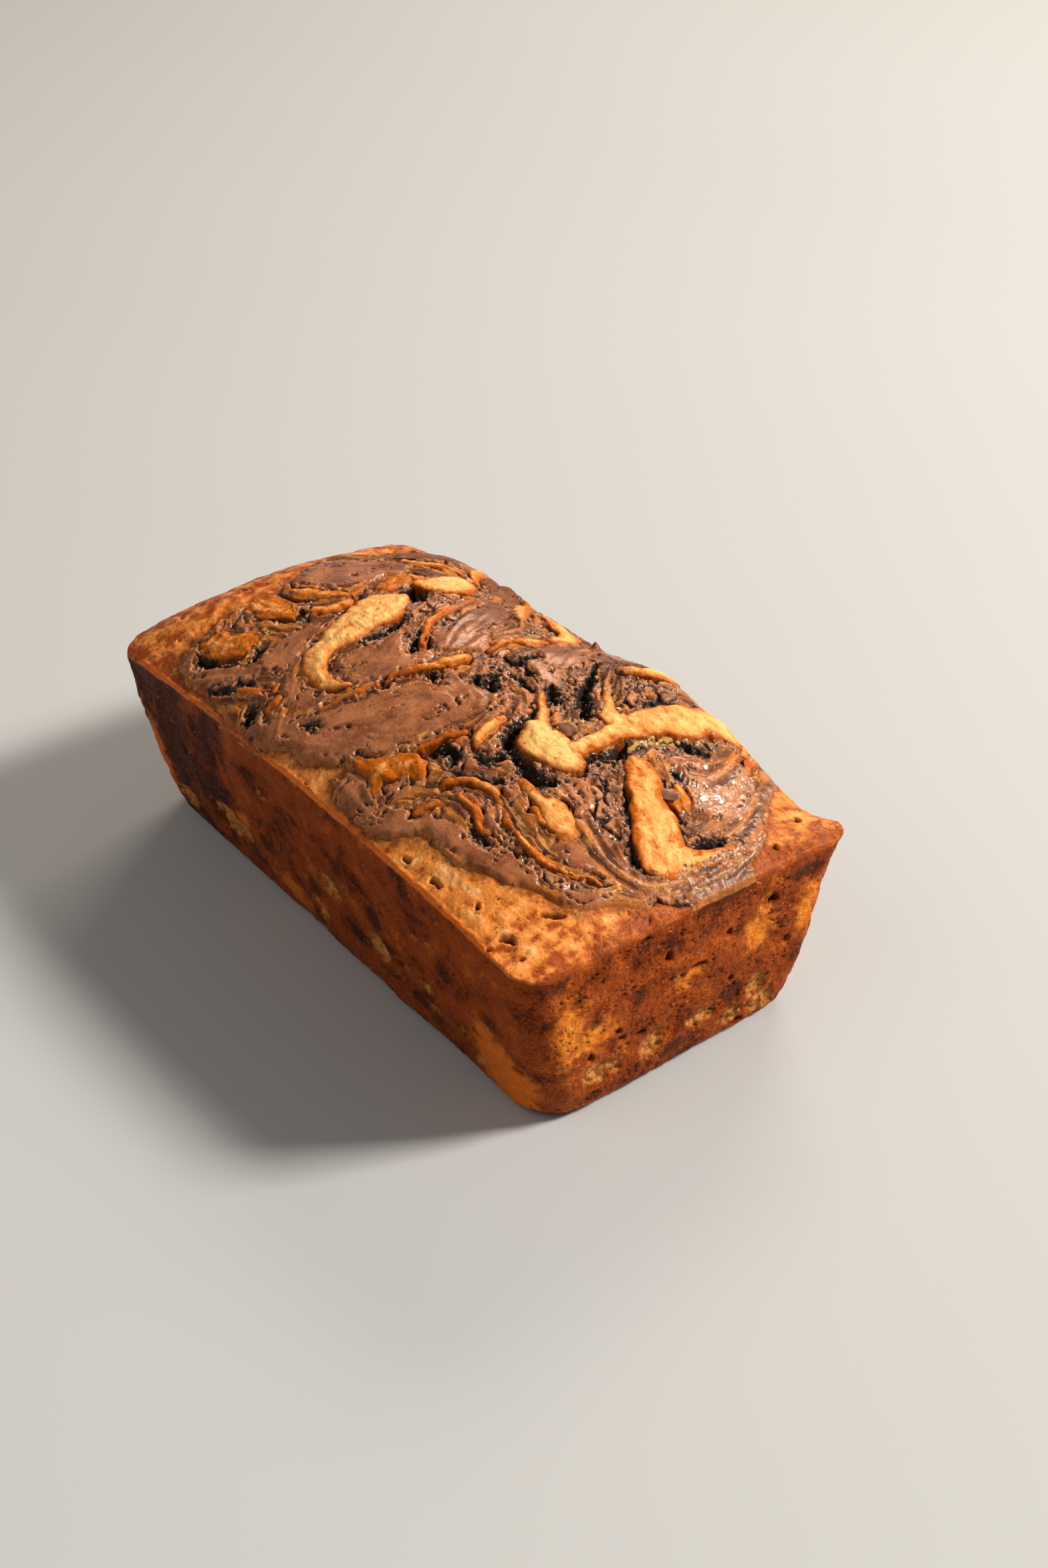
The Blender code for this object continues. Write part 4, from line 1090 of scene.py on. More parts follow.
# The sides in two parts, each closed by a top, a bottom and a cut face inside the loaf.
def sidesPieces():
    rows = tinSides["rows"] + tinSides["footRows"]
    walls = []
    for length, cell in (
        (loafForm["rimLength"], tinSides["seenCell"]), (loafForm["rimWidth"], tinSides["seenCell"]),
        (loafForm["rimLength"], tinSides["hiddenCell"]), (loafForm["rimWidth"], tinSides["hiddenCell"]),
    ):
        count = round(length / cell)
        walls.append(np.arange(count) * 2.0 / count - 1.0)
    left, near, right, far = walls
    across = np.concatenate((left, np.ones(len(near)), -right, -np.ones(len(far))))
    along = np.concatenate((-np.ones(len(left)), near, np.ones(len(right)), -far))
    count = len(across)
    rowShare = np.repeat(np.arange(rows + 1) / rows, count)
    points, fields = wallShape(np.tile(across, rows + 1), np.tile(along, rows + 1), rowShare)
    column = np.arange(count)
    after = np.roll(column, -1)
    top = count * np.arange(rows)[:, None]
    faces = np.stack((top + column, top + count + column, top + count + after, top + after), axis=-1)
    normals = cornerNormals(points, faces.reshape(-1, 4))
    axis = np.array([[0.0, 0.0, loafForm["cornerHeight"] - 8.0], [0.0, 0.0, 0.0]])
    seam = len(left) + len(near)
    pieces = []
    for name, first, last in (("tinSidesNear", 0, seam), ("tinSidesFar", seam, count)):
        ring = np.arange(first, last + 1) % count
        own = (count * np.arange(rows + 1)[:, None] + ring).ravel()
        width = len(ring)
        cells = np.arange(width - 1)
        top = width * np.arange(rows)[:, None]
        below = top + width
        quads = np.stack((top + cells, below + cells, below + cells + 1, top + cells + 1), axis=-1)
        ownFaces = quads.reshape(-1, 4).tolist()
        high = len(own)
        low = high + 1
        foot = rows * width
        ownFaces += [(cell, cell + 1, high) for cell in range(width - 1)]
        ownFaces += [(foot + cell + 1, foot + cell, low) for cell in range(width - 1)]
        ownFaces.append([high, low] + [row * width for row in range(rows, -1, -1)])
        ownFaces.append([low, high] + [row * width + width - 1 for row in range(rows + 1)])
        ownFields = {label: np.append(values[own], (0.0, 0.0)) for label, values in fields.items()}
        piece = meshPiece(name, np.vstack((points[own], axis)), ownFaces, ownFields)
        given = np.vstack((normals[own], np.zeros((2, 3))))
        piece.data.normals_split_custom_set_from_vertices(given.tolist())
        pieces.append(piece)
    return pieces


print("stage: chocolate of the marbled top")
chocolatePieces = gridSheet("swirlChocolate", swirl["chocolateCell"], 50.0, isChocolate, chocolateShape, 3)
print("stage: pale batter of the marbled top")
batterPieces = gridSheet("swirlBatter", swirl["batterCell"], 53.0, isBatter, batterShape)
print("stage: plain crust round it")
rimPieces = gridSheet("rimCrust", rimCrust["cell"], 51.0, isRimCrust, rimCrustShape)
print("stage: sides and foot")
sidePieces = sidesPieces()


# Chocolate chips and crumbs that lie on the marbled top.
looseBits = {
    "chips": (                  # x, y, half sizes, turn about z, tilt
        (47.5, 4.5, 3.2, 2.3, 0.8, 0.3, 0.3), (46.2, 8.4, 1.6, 1.3, 0.4, 1.1, -0.5),
        (43.2, 10.2, 1.5, 2.1, 0.5, 0.1, 0.6), (91.5, 12.5, 1.3, 2.6, 0.4, -0.3, 0.5),
        (80.5, 13.6, 2.7, 1.8, 0.6, 0.5, 0.25), (72.0, 1.5, 1.5, 1.1, 0.4, 0.6, 0.3),
        (65.5, 5.5, 1.7, 1.2, 0.45, 0.2, -0.4), (64.0, 0.5, 1.4, 1.0, 0.4, 1.4, 0.4),
        (33.5, 8.5, 1.5, 1.2, 0.4, 0.8, 0.5),
    ),
    "flakeCount": 300, "smallestFlake": 0.25, "largestFlake": 0.8, "flakeSeed": 21,
    "flakeTries": 9000, "flakesX": (-95.0, 104.0), "flakesY": (-55.0, 52.0),
}


# Points and faces of one rounded lump with an uneven surface.
def roundLump(centre, radii, turn, tilt, seed, detail, roughness):
    shape = bmesh.new()
    bmesh.ops.create_icosphere(shape, subdivisions=detail, radius=1.0)
    points = np.array([corner.co for corner in shape.verts])
    faces = [[corner.index for corner in face.verts] for face in shape.faces]
    shape.free()
    points *= (1.0 + roughness * gradientNoise(points + seed * 7.3, 0.9, 3))[:, None]
    turned = Matrix.Rotation(turn, 3, "Z") @ Matrix.Rotation(tilt, 3, "X")
    return points * radii @ np.array(turned).T + centre, faces


def joinedLumps(name, lumps):
    points = []
    faces = []
    count = 0
    for lumpPoints, lumpFaces in lumps:
        points.append(lumpPoints)
        faces += [[corner + count for corner in face] for face in lumpFaces]
        count += len(lumpPoints)
    return meshPiece(name, np.vstack(points), faces)


def chipPiece():
    chips = np.array(looseBits["chips"])
    x, y, height, fields = chocolateShape(chips[:, 0], chips[:, 1])
    onBatter = batterShape(chips[:, 0], chips[:, 1])[2]
    height = np.where(fields["gold"] > 0.0, np.maximum(height, onBatter), height)
    lumps = []
    for number, (x, y, sizeX, sizeY, sizeZ, turn, tilt) in enumerate(chips):
        centre = (x, y, height[number] + 0.7 * sizeZ)
        lumps.append(roundLump(centre, (sizeX, sizeY, sizeZ), turn, tilt, number, 4, 0.42))
    return joinedLumps("chocolateChips", lumps)


# Flakes lie on the torn crumb, most of them in its hollows.
def flakePiece():
    random = np.random.default_rng(looseBits["flakeSeed"])
    tries = looseBits["flakeTries"]
    x = random.uniform(*looseBits["flakesX"], tries)
    y = random.uniform(*looseBits["flakesY"], tries)
    x, y, height, fields = chocolateShape(x, y)
    rough = (fields["gold"] < -0.5) & (fields["skin"] < 0.2) & (fields["edge"] > 1.0)
    rough &= distanceToRim(x, y) > 2.0
    likely = 0.25 + 0.75 * fields["shadedHollow"]
    chosen = np.nonzero(rough & (random.random(tries) < likely))[0][: looseBits["flakeCount"]]
    spread = looseBits["largestFlake"] - looseBits["smallestFlake"]
    lumps = []
    for number, place in enumerate(chosen):
        size = looseBits["smallestFlake"] + spread * random.random() ** 2
        radii = size * random.uniform(0.6, 1.3, 3) * (1.0, 1.0, 0.55)
        centre = (x[place], y[place], height[place] + 0.3 * size)
        turn = random.uniform(0, 6.3)
        tilt = random.uniform(-0.7, 0.7)
        lumps.append(roundLump(centre, radii, turn, tilt, number, 2, 0.5))
    return joinedLumps("cocoaFlakes", lumps)


print("stage: chips and flakes")
chipsPiece = chipPiece()
flakesPiece = flakePiece()


# Shader building.
def addNode(tree, kind, **settings):
    node = tree.nodes.new(kind)
    for label, value in settings.items():
        setattr(node, label, value)
    return node


def feed(tree, socket, value):
    if isinstance(value, bpy.types.NodeSocket):
        tree.links.new(value, socket)
    elif isinstance(value, (tuple, list)) and len(value) == 3 and socket.type == "RGBA":
        socket.default_value = (*value, 1.0)
    else:
        socket.default_value = value


def feedAll(tree, node, **values):
    for label, value in values.items():
        feed(tree, node.inputs[label.replace("_", " ")], value)
    return node.outputs


def calc(tree, operation, *values):
    node = addNode(tree, "ShaderNodeMath", operation=operation)
    for socket, value in zip(node.inputs, values):
        feed(tree, socket, value)
    return node.outputs[0]


def product(tree, *values):
    total = values[0]
    for value in values[1:]:
        total = calc(tree, "MULTIPLY", total, value)
    return total


# total + mask * factor
def plus(tree, mask, factor, total):
    return calc(tree, "MULTIPLY_ADD", mask, factor, total)


# 1 where the mask is 0, and less by this share of it elsewhere.
def oneMinus(tree, mask, share=1.0):
    return calc(tree, "SUBTRACT", 1.0, product(tree, mask, share))


def mixed(tree, factor, first, second):
    node = addNode(tree, "ShaderNodeMix", data_type="RGBA")
    return feedAll(tree, node, Factor=factor, A=first, B=second)["Result"]


# Plain numbers mixed by a mask.
def blended(tree, factor, first, second):
    return calc(tree, "ADD", product(tree, factor, second), product(tree, oneMinus(tree, factor), first))


# A soft step: outLow at the first end, outHigh at the other.
def between(tree, value, low, high, outLow=0.0, outHigh=1.0):
    node = addNode(tree, "ShaderNodeMapRange", interpolation_type="SMOOTHSTEP")
    result = feedAll(tree, node, From_Min=low, From_Max=high, To_Min=outLow, To_Max=outHigh, Value=value)
    return result["Result"]


# Noise from 0 to 1 whose bumps are as wide as size, in millimetres.
def noiseOf(tree, vector, size, detail=2.0, roughness=0.5, distortion=0.0):
    node = addNode(tree, "ShaderNodeTexNoise", normalize=True)
    scale = 1.0 / size if isinstance(size, float) else calc(tree, "DIVIDE", 1.0, size)
    result = feedAll(
        tree, node, Vector=vector, Scale=scale, Detail=detail, Roughness=roughness, Distortion=distortion
    )
    return result["Fac"]


# Noise from -0.5 to 0.5, which makes the edges of masks uneven.
def unevenness(tree, place, size, roughness):
    return calc(tree, "SUBTRACT", noiseOf(tree, place, size, 3.0, roughness), 0.5)


def attribute(tree, label):
    return addNode(tree, "ShaderNodeAttribute", attribute_name=label).outputs["Fac"]


def newGroup(name, inputs, outputs):
    group = bpy.data.node_groups.new(name, "ShaderNodeTree")
    for label, kind, value in inputs:
        socket = group.interface.new_socket(name=label, in_out="INPUT", socket_type="NodeSocket" + kind)
        if value is not None:
            socket.default_value = value
    for label, kind in outputs:
        group.interface.new_socket(name=label, in_out="OUTPUT", socket_type="NodeSocket" + kind)
    return group, addNode(group, "NodeGroupInput").outputs, addNode(group, "NodeGroupOutput").inputs


def useGroup(tree, group, **values):
    return feedAll(tree, addNode(tree, "ShaderNodeGroup", node_tree=group), **values)


# Places on the object in millimetres.
def millimetres():
    group, given, result = newGroup("millimetres", (), (("Place", "Vector"),))
    scale = addNode(group, "ShaderNodeVectorMath", operation="SCALE")
    feedAll(group, scale, Vector=addNode(group, "ShaderNodeTexCoord").outputs["Object"], Scale=1.0 / metre)
    feed(group, result["Place"], scale.outputs["Vector"])
    return group


poreForm = {"warpScale": 1.3, "warpReach": (0.35, 0.35, 0.35), "leastWidth": 0.45, "softEdge": 0.55}


# Small open pores: a mask that is 1 in the pore.
def poreGroup():
    form = poreForm
    group, given, result = newGroup(
        "crumbPores",
        (("Place", "Vector", None), ("Size", "Float", 2.0), ("Width", "Float", 0.3), ("Share", "Float", 0.5)),
        (("Mask", "Float"),),
    )
    warp = addNode(group, "ShaderNodeTexNoise", normalize=False)
    feedAll(group, warp, Vector=given["Place"], Scale=form["warpScale"])
    push = addNode(group, "ShaderNodeVectorMath", operation="MULTIPLY_ADD")
    for socket, value in zip(push.inputs, (warp.outputs["Color"], form["warpReach"], given["Place"])):
        feed(group, socket, value)
    cells = addNode(group, "ShaderNodeTexVoronoi", feature="F1")
    feedAll(group, cells, Vector=push.outputs["Vector"], Scale=calc(group, "DIVIDE", 1.0, given["Size"]))
    own = feedAll(group, addNode(group, "ShaderNodeSeparateColor"), Color=cells.outputs["Color"])
    chosen = calc(group, "LESS_THAN", own["Red"], given["Share"])
    width = product(group, given["Width"], calc(group, "ADD", form["leastWidth"], own["Green"]))
    inner = between(group, cells.outputs["Distance"], width, product(group, width, form["softEdge"]))
    feed(group, result["Mask"], product(group, inner, chosen))
    return group


bakeForm = {
    "broad": (4.0, 0.6, 0.4),               # detail, roughness and distortion of the patches
    "fine": (1.2, 5.0, 0.8),                # size, detail and roughness of the mottle
}


# Baked batter: patches that run from light to dark, with a finer mottle on top.
def bakeGroup():
    group, given, result = newGroup(
        "bakedColour",
        (("Place", "Vector", None), ("Light", "Color", None), ("Middle", "Color", None),
         ("Dark", "Color", None), ("Tone", "Float", 0.5), ("Patch", "Float", 8.0),
         ("Spread", "Float", 0.6), ("Mottle", "Float", 0.3)),
        (("Color", "Color"),),
    )
    broad = noiseOf(group, given["Place"], given["Patch"], *bakeForm["broad"])
    fine = noiseOf(group, given["Place"], *bakeForm["fine"])
    tone = plus(group, calc(group, "SUBTRACT", broad, 0.5), given["Spread"], given["Tone"])
    tone = plus(group, calc(group, "SUBTRACT", fine, 0.5), given["Mottle"], tone)
    lower = mixed(group, between(group, tone, 0.0, 0.5), given["Light"], given["Middle"])
    feed(group, result["Color"], mixed(group, between(group, tone, 0.5, 1.0), lower, given["Dark"]))
    return group


grainForm = {
    "noise": (3.0, 0.65, 0.3),              # detail, roughness and distortion
    "speckle": (0.35, 0.68),                # where in the noise the speckle starts and is full
}


# Crumbly grain: its height in millimetres and a speckle mask for roughness and colour.
def grainGroup():
    group, given, result = newGroup(
        "crumbGrain",
        (("Place", "Vector", None), ("Size", "Float", 1.0), ("Height", "Float", 0.1)),
        (("Height", "Float"), ("Speckle", "Float")),
    )
    noise = noiseOf(group, given["Place"], given["Size"], *grainForm["noise"])
    feed(group, result["Height"], product(group, calc(group, "SUBTRACT", noise, 0.5), given["Height"]))
    feed(group, result["Speckle"], between(group, noise, *grainForm["speckle"]))
    return group


placeGroup = millimetres()
pores = poreGroup()
baked = bakeGroup()
grain = grainGroup()


def newMaterial(name, constants):
    material = bpy.data.materials.new(name)
    material.use_nodes = True
    tree = material.node_tree
    surface = tree.nodes["Principled BSDF"]
    for label, value in constants.items():
        surface.inputs[label].default_value = value
    return material, tree, surface, useGroup(tree, placeGroup)["Place"]


def addBump(tree, surface, height, strength):
    bump = addNode(tree, "ShaderNodeBump")
    feedAll(tree, bump, Distance=metre, Strength=strength, Height=height)
    feed(tree, surface.inputs["Normal"], bump.outputs["Normal"])


# Light, middle and dark of one look, laid out in its own patches.
def bakedColour(tree, place, look, tone, **more):
    shades = {"Light": look["light"], "Middle": look["middle"], "Dark": look["dark"]}
    return useGroup(tree, baked, Place=place, Tone=tone, **shades, **look["bake"], **more)["Color"]


def poresOf(tree, place, values):
    return useGroup(tree, pores, Place=place, **values)["Mask"]


# Grain on roughness and bump, with pores cut into it and less rough glint spots that shine. Gives back its
# speckle.
def addGrain(tree, surface, place, look, pore=None, paintedGlint=None):
    rough = useGroup(tree, grain, Place=place, **look["grain"])
    roughness = plus(tree, rough["Speckle"], *look["roughness"])
    if paintedGlint is not None:
        roughness = plus(tree, paintedGlint, look["glintRoughness"], roughness)
    feed(tree, surface.inputs["Roughness"], roughness)
    height = rough["Height"]
    if pore is not None:
        height = plus(tree, pore, -look["poreDepth"], height)
    addBump(tree, surface, height, look["bump"])
    return rough["Speckle"]


batterLook = {
    "surface": {
        "IOR": 1.45, "Specular IOR Level": 0.24, "Specular Tint": (1.0, 0.78, 0.45, 1.0),
        "Subsurface Weight": 0.4, "Subsurface Radius": (1.0, 0.32, 0.08), "Subsurface Scale": 0.0016,
    },
    "light": (0.80, 0.450, 0.135), "middle": (0.83, 0.315, 0.075), "dark": (0.50, 0.115, 0.002),
    "edge": (0.40, 0.085, 0.008), "toastAndShade": (0.14, 0.028, 0.006), "pore": (0.30, 0.06, 0.008),
    "bake": {"Patch": 5.0, "Spread": 1.8, "Mottle": 0.2},
    # Painted light and shade: the wrinkles' crests are paler, their valleys darker and more orange.
    "wrinkleLightAndShade": -0.45,                   # crests are paler than the wrinkles between them
    "insideTone": -0.08, "marginTone": 0.42,
    "pores": {"Size": 1.2, "Width": 0.2, "Share": 0.35}, "poreDepth": 0.14, "hollowShade": 0.7,
    "grain": {"Size": 1.1, "Height": 0.22},
    "roughness": (0.18, 0.24),              # what the speckle adds, and the least
    "bump": 1.0,
}


def batterMaterial():
    look = batterLook
    material, tree, surface, place = newMaterial("paleBatter", look["surface"])
    wander = unevenness(tree, place, 0.9, 0.6)
    gold = attribute(tree, "gold")
    depth = plus(tree, wander, 0.8, gold)
    # Painted light and shade on the wrinkles: crests paler, valleys darker.
    tone = plus(tree, attribute(tree, "wrinkles"), look["wrinkleLightAndShade"], attribute(tree, "tone"))
    margin = between(tree, depth, 3.2, 0.3, look["insideTone"], look["marginTone"])
    colour = bakedColour(tree, place, look, calc(tree, "ADD", tone, margin))
    colour = mixed(tree, between(tree, depth, 1.7, 0.35, 0.0, 0.9), colour, look["edge"])
    # The lobe's sides darken where they dive under the chocolate: partly toasted crust and partly painted
    # shade.
    wall = between(tree, plus(tree, wander, 3.0, gold), 0.4, -0.4, 0.0, 0.9)
    colour = mixed(tree, wall, colour, look["toastAndShade"])
    wellBaked = between(tree, attribute(tree, "tone"), 0.25, 0.6, 0.1, 0.8)
    pore = product(tree, poresOf(tree, place, look["pores"]), wellBaked)
    colour = mixed(tree, pore, colour, look["pore"])
    # Bubbles are darkened in colour: painted shade in the hollows.
    shadedHollow = product(tree, attribute(tree, "shadedHollow"), look["hollowShade"])
    feed(tree, surface.inputs["Base Color"], mixed(tree, shadedHollow, colour, look["pore"]))
    addGrain(tree, surface, place, look, pore)
    return material


chocolateLook = {
    "surface": {
        "IOR": 1.45, "Specular IOR Level": 0.24, "Specular Tint": (1.0, 0.80, 0.62, 1.0),
        "Coat Roughness": 0.21, "Coat IOR": 1.5,
    },
    # The pale skin colour stands partly for painted sheen.
    "skin": (0.170, 0.044, 0.013), "skinPaleSheen": (0.47, 0.160, 0.060),
    "swirled": (0.100, 0.024, 0.008), "mingled": (0.52, 0.150, 0.024),
    # The pale crumb colour is painted light on raised crumb.
    "rough": (0.055, 0.012, 0.005), "crumbLitPale": (0.80, 0.280, 0.095),
    "melt": (0.36, 0.105, 0.018), "thread": (0.76, 0.34, 0.065), "fresh": (0.62, 0.37, 0.080),
    # Below: a near black for the hollows, partly dark crumb and partly painted shade, and a pale painted
    # sheen for the crests of the melt.
    "crevice": (0.020, 0.007, 0.004), "paintedSheen": (0.66, 0.400, 0.250), "platePale": (0.62, 0.255, 0.120),
    "edgeCrust": {
        "light": (0.74, 0.24, 0.05), "middle": (0.36, 0.105, 0.018), "dark": (0.16, 0.034, 0.009),
        "bake": {"Patch": 4.0, "Spread": 2.0, "Mottle": 1.0},
    },
    "edgeTone": 0.5,
    "patchSize": 9.0, "fleckSize": 1.1, "pits": {"Size": 1.0, "Width": 0.3, "Share": 0.55},
    "crumbGrain": {"Size": 0.8, "Height": 0.75}, "crumbRoughness": (0.2, 0.28),
    "skinGrain": {"Size": 1.5, "Height": 0.34}, "skinRoughness": (0.32, 0.07), "poolCalm": 0.6,
    "rippleGrain": {"Size": 0.9, "Height": 0.3},
    "rippleCoat": 0.6, "crumbCoat": 0.5, "poolCoat": 0.14, "leastCoat": 0.06, "dullCoat": 0.85,
    "glossRoughness": -0.08, "dullRoughness": 0.24, "shadedSlopeRoughness": 0.25,
    "threadHeight": 0.16, "pitHeight": -0.25, "bump": 0.9,
}


def chocolateMaterial():
    look = chocolateLook
    material, tree, surface, place = newMaterial("marbledChocolate", look["surface"])
    gold = attribute(tree, "gold")
    onSkin = attribute(tree, "skin")
    onPool = attribute(tree, "pool")
    gloss = attribute(tree, "gloss")
    dull = attribute(tree, "dull")
    shadedSlope = attribute(tree, "shadedSlope")
    relief = attribute(tree, "relief")
    lamina = attribute(tree, "lamina")
    offPool = oneMinus(tree, onPool)
    wander = unevenness(tree, place, 1.0, 0.6)

    def ragged(label, reach):
        return plus(tree, wander, reach, attribute(tree, label))

    # Skin on the pools, drawn folds between them, broken crumb where it tore.
    # Pale patches on the skin, partly random tone and partly painted sheen; painted shade keeps them off the
    # far right slope.
    patch = between(tree, noiseOf(tree, place, look["patchSize"], 5.0, 0.7), 0.28, 0.68)
    skin = mixed(tree, product(tree, patch, oneMinus(tree, shadedSlope)), look["skin"], look["skinPaleSheen"])
    drawn = plus(tree, wander, 0.5, plus(tree, attribute(tree, "folds"), 0.5, attribute(tree, "bands")))
    swirled = mixed(tree, between(tree, drawn, -0.35, 0.75), look["swirled"], look["mingled"])
    skin = mixed(tree, product(tree, offPool, 0.9), skin, swirled)
    onPlate = between(tree, attribute(tree, "plate"), 0.35, 1.0, 0.0, 0.9)
    skin = mixed(tree, onPlate, skin, look["platePale"])
    rough = useGroup(tree, grain, Place=place, **look["crumbGrain"])
    # Painted light and shade on the crumb: raised crumb is paler and low crumb darker, mottled by the
    # speckle.
    crumbTopLight = product(tree, between(tree, relief, -1.2, 0.6), plus(tree, rough["Speckle"], 0.5, 0.5))
    crumb = mixed(tree, crumbTopLight, look["rough"], look["crumbLitPale"])
    colour = mixed(tree, onSkin, crumb, skin)
    # Painted sheen: a pale colour on the raised crests of the wrinkled melt.
    raised = between(tree, relief, -0.1, 0.5)
    paintedSheen = product(tree, gloss, raised, between(tree, wander, -0.12, 0.12), 0.75)
    colour = mixed(tree, paintedSheen, colour, look["paintedSheen"])
    melt = between(tree, plus(tree, wander, 2.0, gold), -1.6, -0.1, 0.0, 0.5)
    colour = mixed(tree, product(tree, melt, noiseOf(tree, place, 5.0)), colour, look["melt"])
    edge = between(tree, ragged("edge", 2.4), 2.6, 0.2, 0.0, 0.8)
    colour = mixed(tree, edge, colour, bakedColour(tree, place, look["edgeCrust"], look["edgeTone"]))

    # Threads of pale batter along the streaks and beside the lobes.
    shown = between(tree, noiseOf(tree, place, 8.0, 1.0), 0.42, 0.52)
    line = calc(tree, "ABSOLUTE", ragged("streak", 0.05))
    thread = product(tree, between(tree, line, 0.13, 0.05), between(tree, gold, -9.0, -1.0), shown, offPool)
    away = calc(tree, "ABSOLUTE", plus(tree, wander, 2.2, calc(tree, "SUBTRACT", lamina, 2.4)))
    broken = between(tree, noiseOf(tree, place, 5.0, 2.0), 0.5, 0.6)
    beside = product(tree, between(tree, away, 0.7, 0.2, 0.0, 0.8), broken)
    inLaminate = between(tree, attribute(tree, "laminate"), -2.0, 1.5, 0.35, 1.0)
    onFirm = between(tree, onSkin, 0.1, 0.7, 0.25, 1.0)
    thread = product(tree, calc(tree, "MAXIMUM", thread, beside), inLaminate, onFirm)
    colour = mixed(tree, product(tree, thread, 0.9), colour, look["thread"])

    # Pale flecks on the pools, underbaked crumb, dark pits, and crevices and other hollows darkened to near
    # black: painted shade over the dark crumb.
    fleck = between(tree, noiseOf(tree, place, look["fleckSize"], 2.0, 0.6), 0.60, 0.68)
    fleck = product(tree, onPool, onSkin, fleck, between(tree, lamina, 0.0, 3.0, 0.5, 0.25))
    colour = mixed(tree, fleck, colour, look["platePale"])
    colour = mixed(tree, between(tree, ragged("fresh", 2.4), -0.6, 0.5, 0.0, 0.6), colour, look["fresh"])
    pit = product(tree, poresOf(tree, place, look["pits"]), plus(tree, onSkin, -0.25, 0.75))
    colour = mixed(tree, pit, colour, look["rough"])
    shadedHollow = between(tree, ragged("shadedHollow", 0.3), 0.05, 0.75)
    feed(tree, surface.inputs["Base Color"], mixed(tree, shadedHollow, colour, look["crevice"]))

    skinRoughness = plus(tree, noiseOf(tree, place, 6.0, 3.0, 0.6), *look["skinRoughness"])
    roughness = blended(tree, onSkin, plus(tree, rough["Speckle"], *look["crumbRoughness"]), skinRoughness)
    for mask, label in ((gloss, "glossRoughness"), (dull, "dullRoughness"), (shadedSlope, "shadedSlopeRoughness")):
        roughness = plus(tree, mask, look[label], roughness)
    feed(tree, surface.inputs["Roughness"], roughness)
    crumbCoat = product(tree, oneMinus(tree, onSkin), look["crumbCoat"])
    coat = calc(tree, "MAXIMUM", product(tree, gloss, look["rippleCoat"]), crumbCoat)
    coat = product(tree, coat, oneMinus(tree, dull, look["dullCoat"]))
    satin = product(tree, onPool, onSkin, oneMinus(tree, shadedSlope))
    coat = plus(tree, satin, look["poolCoat"], coat)
    feed(tree, surface.inputs["Coat Weight"], calc(tree, "ADD", coat, look["leastCoat"]))

    fine = product(tree, rough["Height"], oneMinus(tree, onSkin, 0.88))
    waves = useGroup(tree, grain, Place=place, **look["skinGrain"])["Height"]
    waves = product(tree, waves, oneMinus(tree, onPool, look["poolCalm"]))
    ripples = useGroup(tree, grain, Place=place, **look["rippleGrain"])["Height"]
    height = calc(tree, "ADD", fine, plus(tree, ripples, gloss, waves))
    height = plus(tree, thread, look["threadHeight"], height)
    addBump(tree, surface, plus(tree, pit, look["pitHeight"], height), look["bump"])
    return material


sideLook = {
    "surface": {"IOR": 1.45, "Specular IOR Level": 0.06, "Specular Tint": (1.0, 0.62, 0.32, 1.0)},
    "light": (0.56, 0.130, 0.018), "middle": (0.30, 0.052, 0.007), "dark": (0.075, 0.013, 0.004),
    "torn": (0.64, 0.285, 0.080), "tornDark": (0.34, 0.090, 0.012),
    "glow": (0.90, 0.300, 0.036), "glowDark": (0.70, 0.150, 0.013),
    "smudge": (0.040, 0.013, 0.007), "pore": (0.045, 0.004, 0.001), "paintedGlint": (0.85, 0.40, 0.14),
    "rim": (0.58, 0.125, 0.012),
    "bake": {"Patch": 12.0, "Spread": 2.1},
    "mottle": (1.1, 0.5),                   # what the coarse ends add, and the least
    "smallPores": {"Size": 0.75, "Width": 0.27, "Share": 0.6}, "smallShare": 0.75,
    "largePores": {"Size": 2.1, "Width": 0.18, "Share": 0.3}, "poreShade": 0.85, "poreDepth": 0.35,
    "paintedGlints": {"Size": 0.8, "Width": 0.22, "Share": 0.3}, "glintShift": (31.0, 17.0, 5.0),
    "paintedGlintShare": 0.65, "glintRoughness": -0.15,
    "grain": {"Size": 0.75, "Height": 0.46}, "roughness": (0.25, 0.35), "bump": 0.9,
}


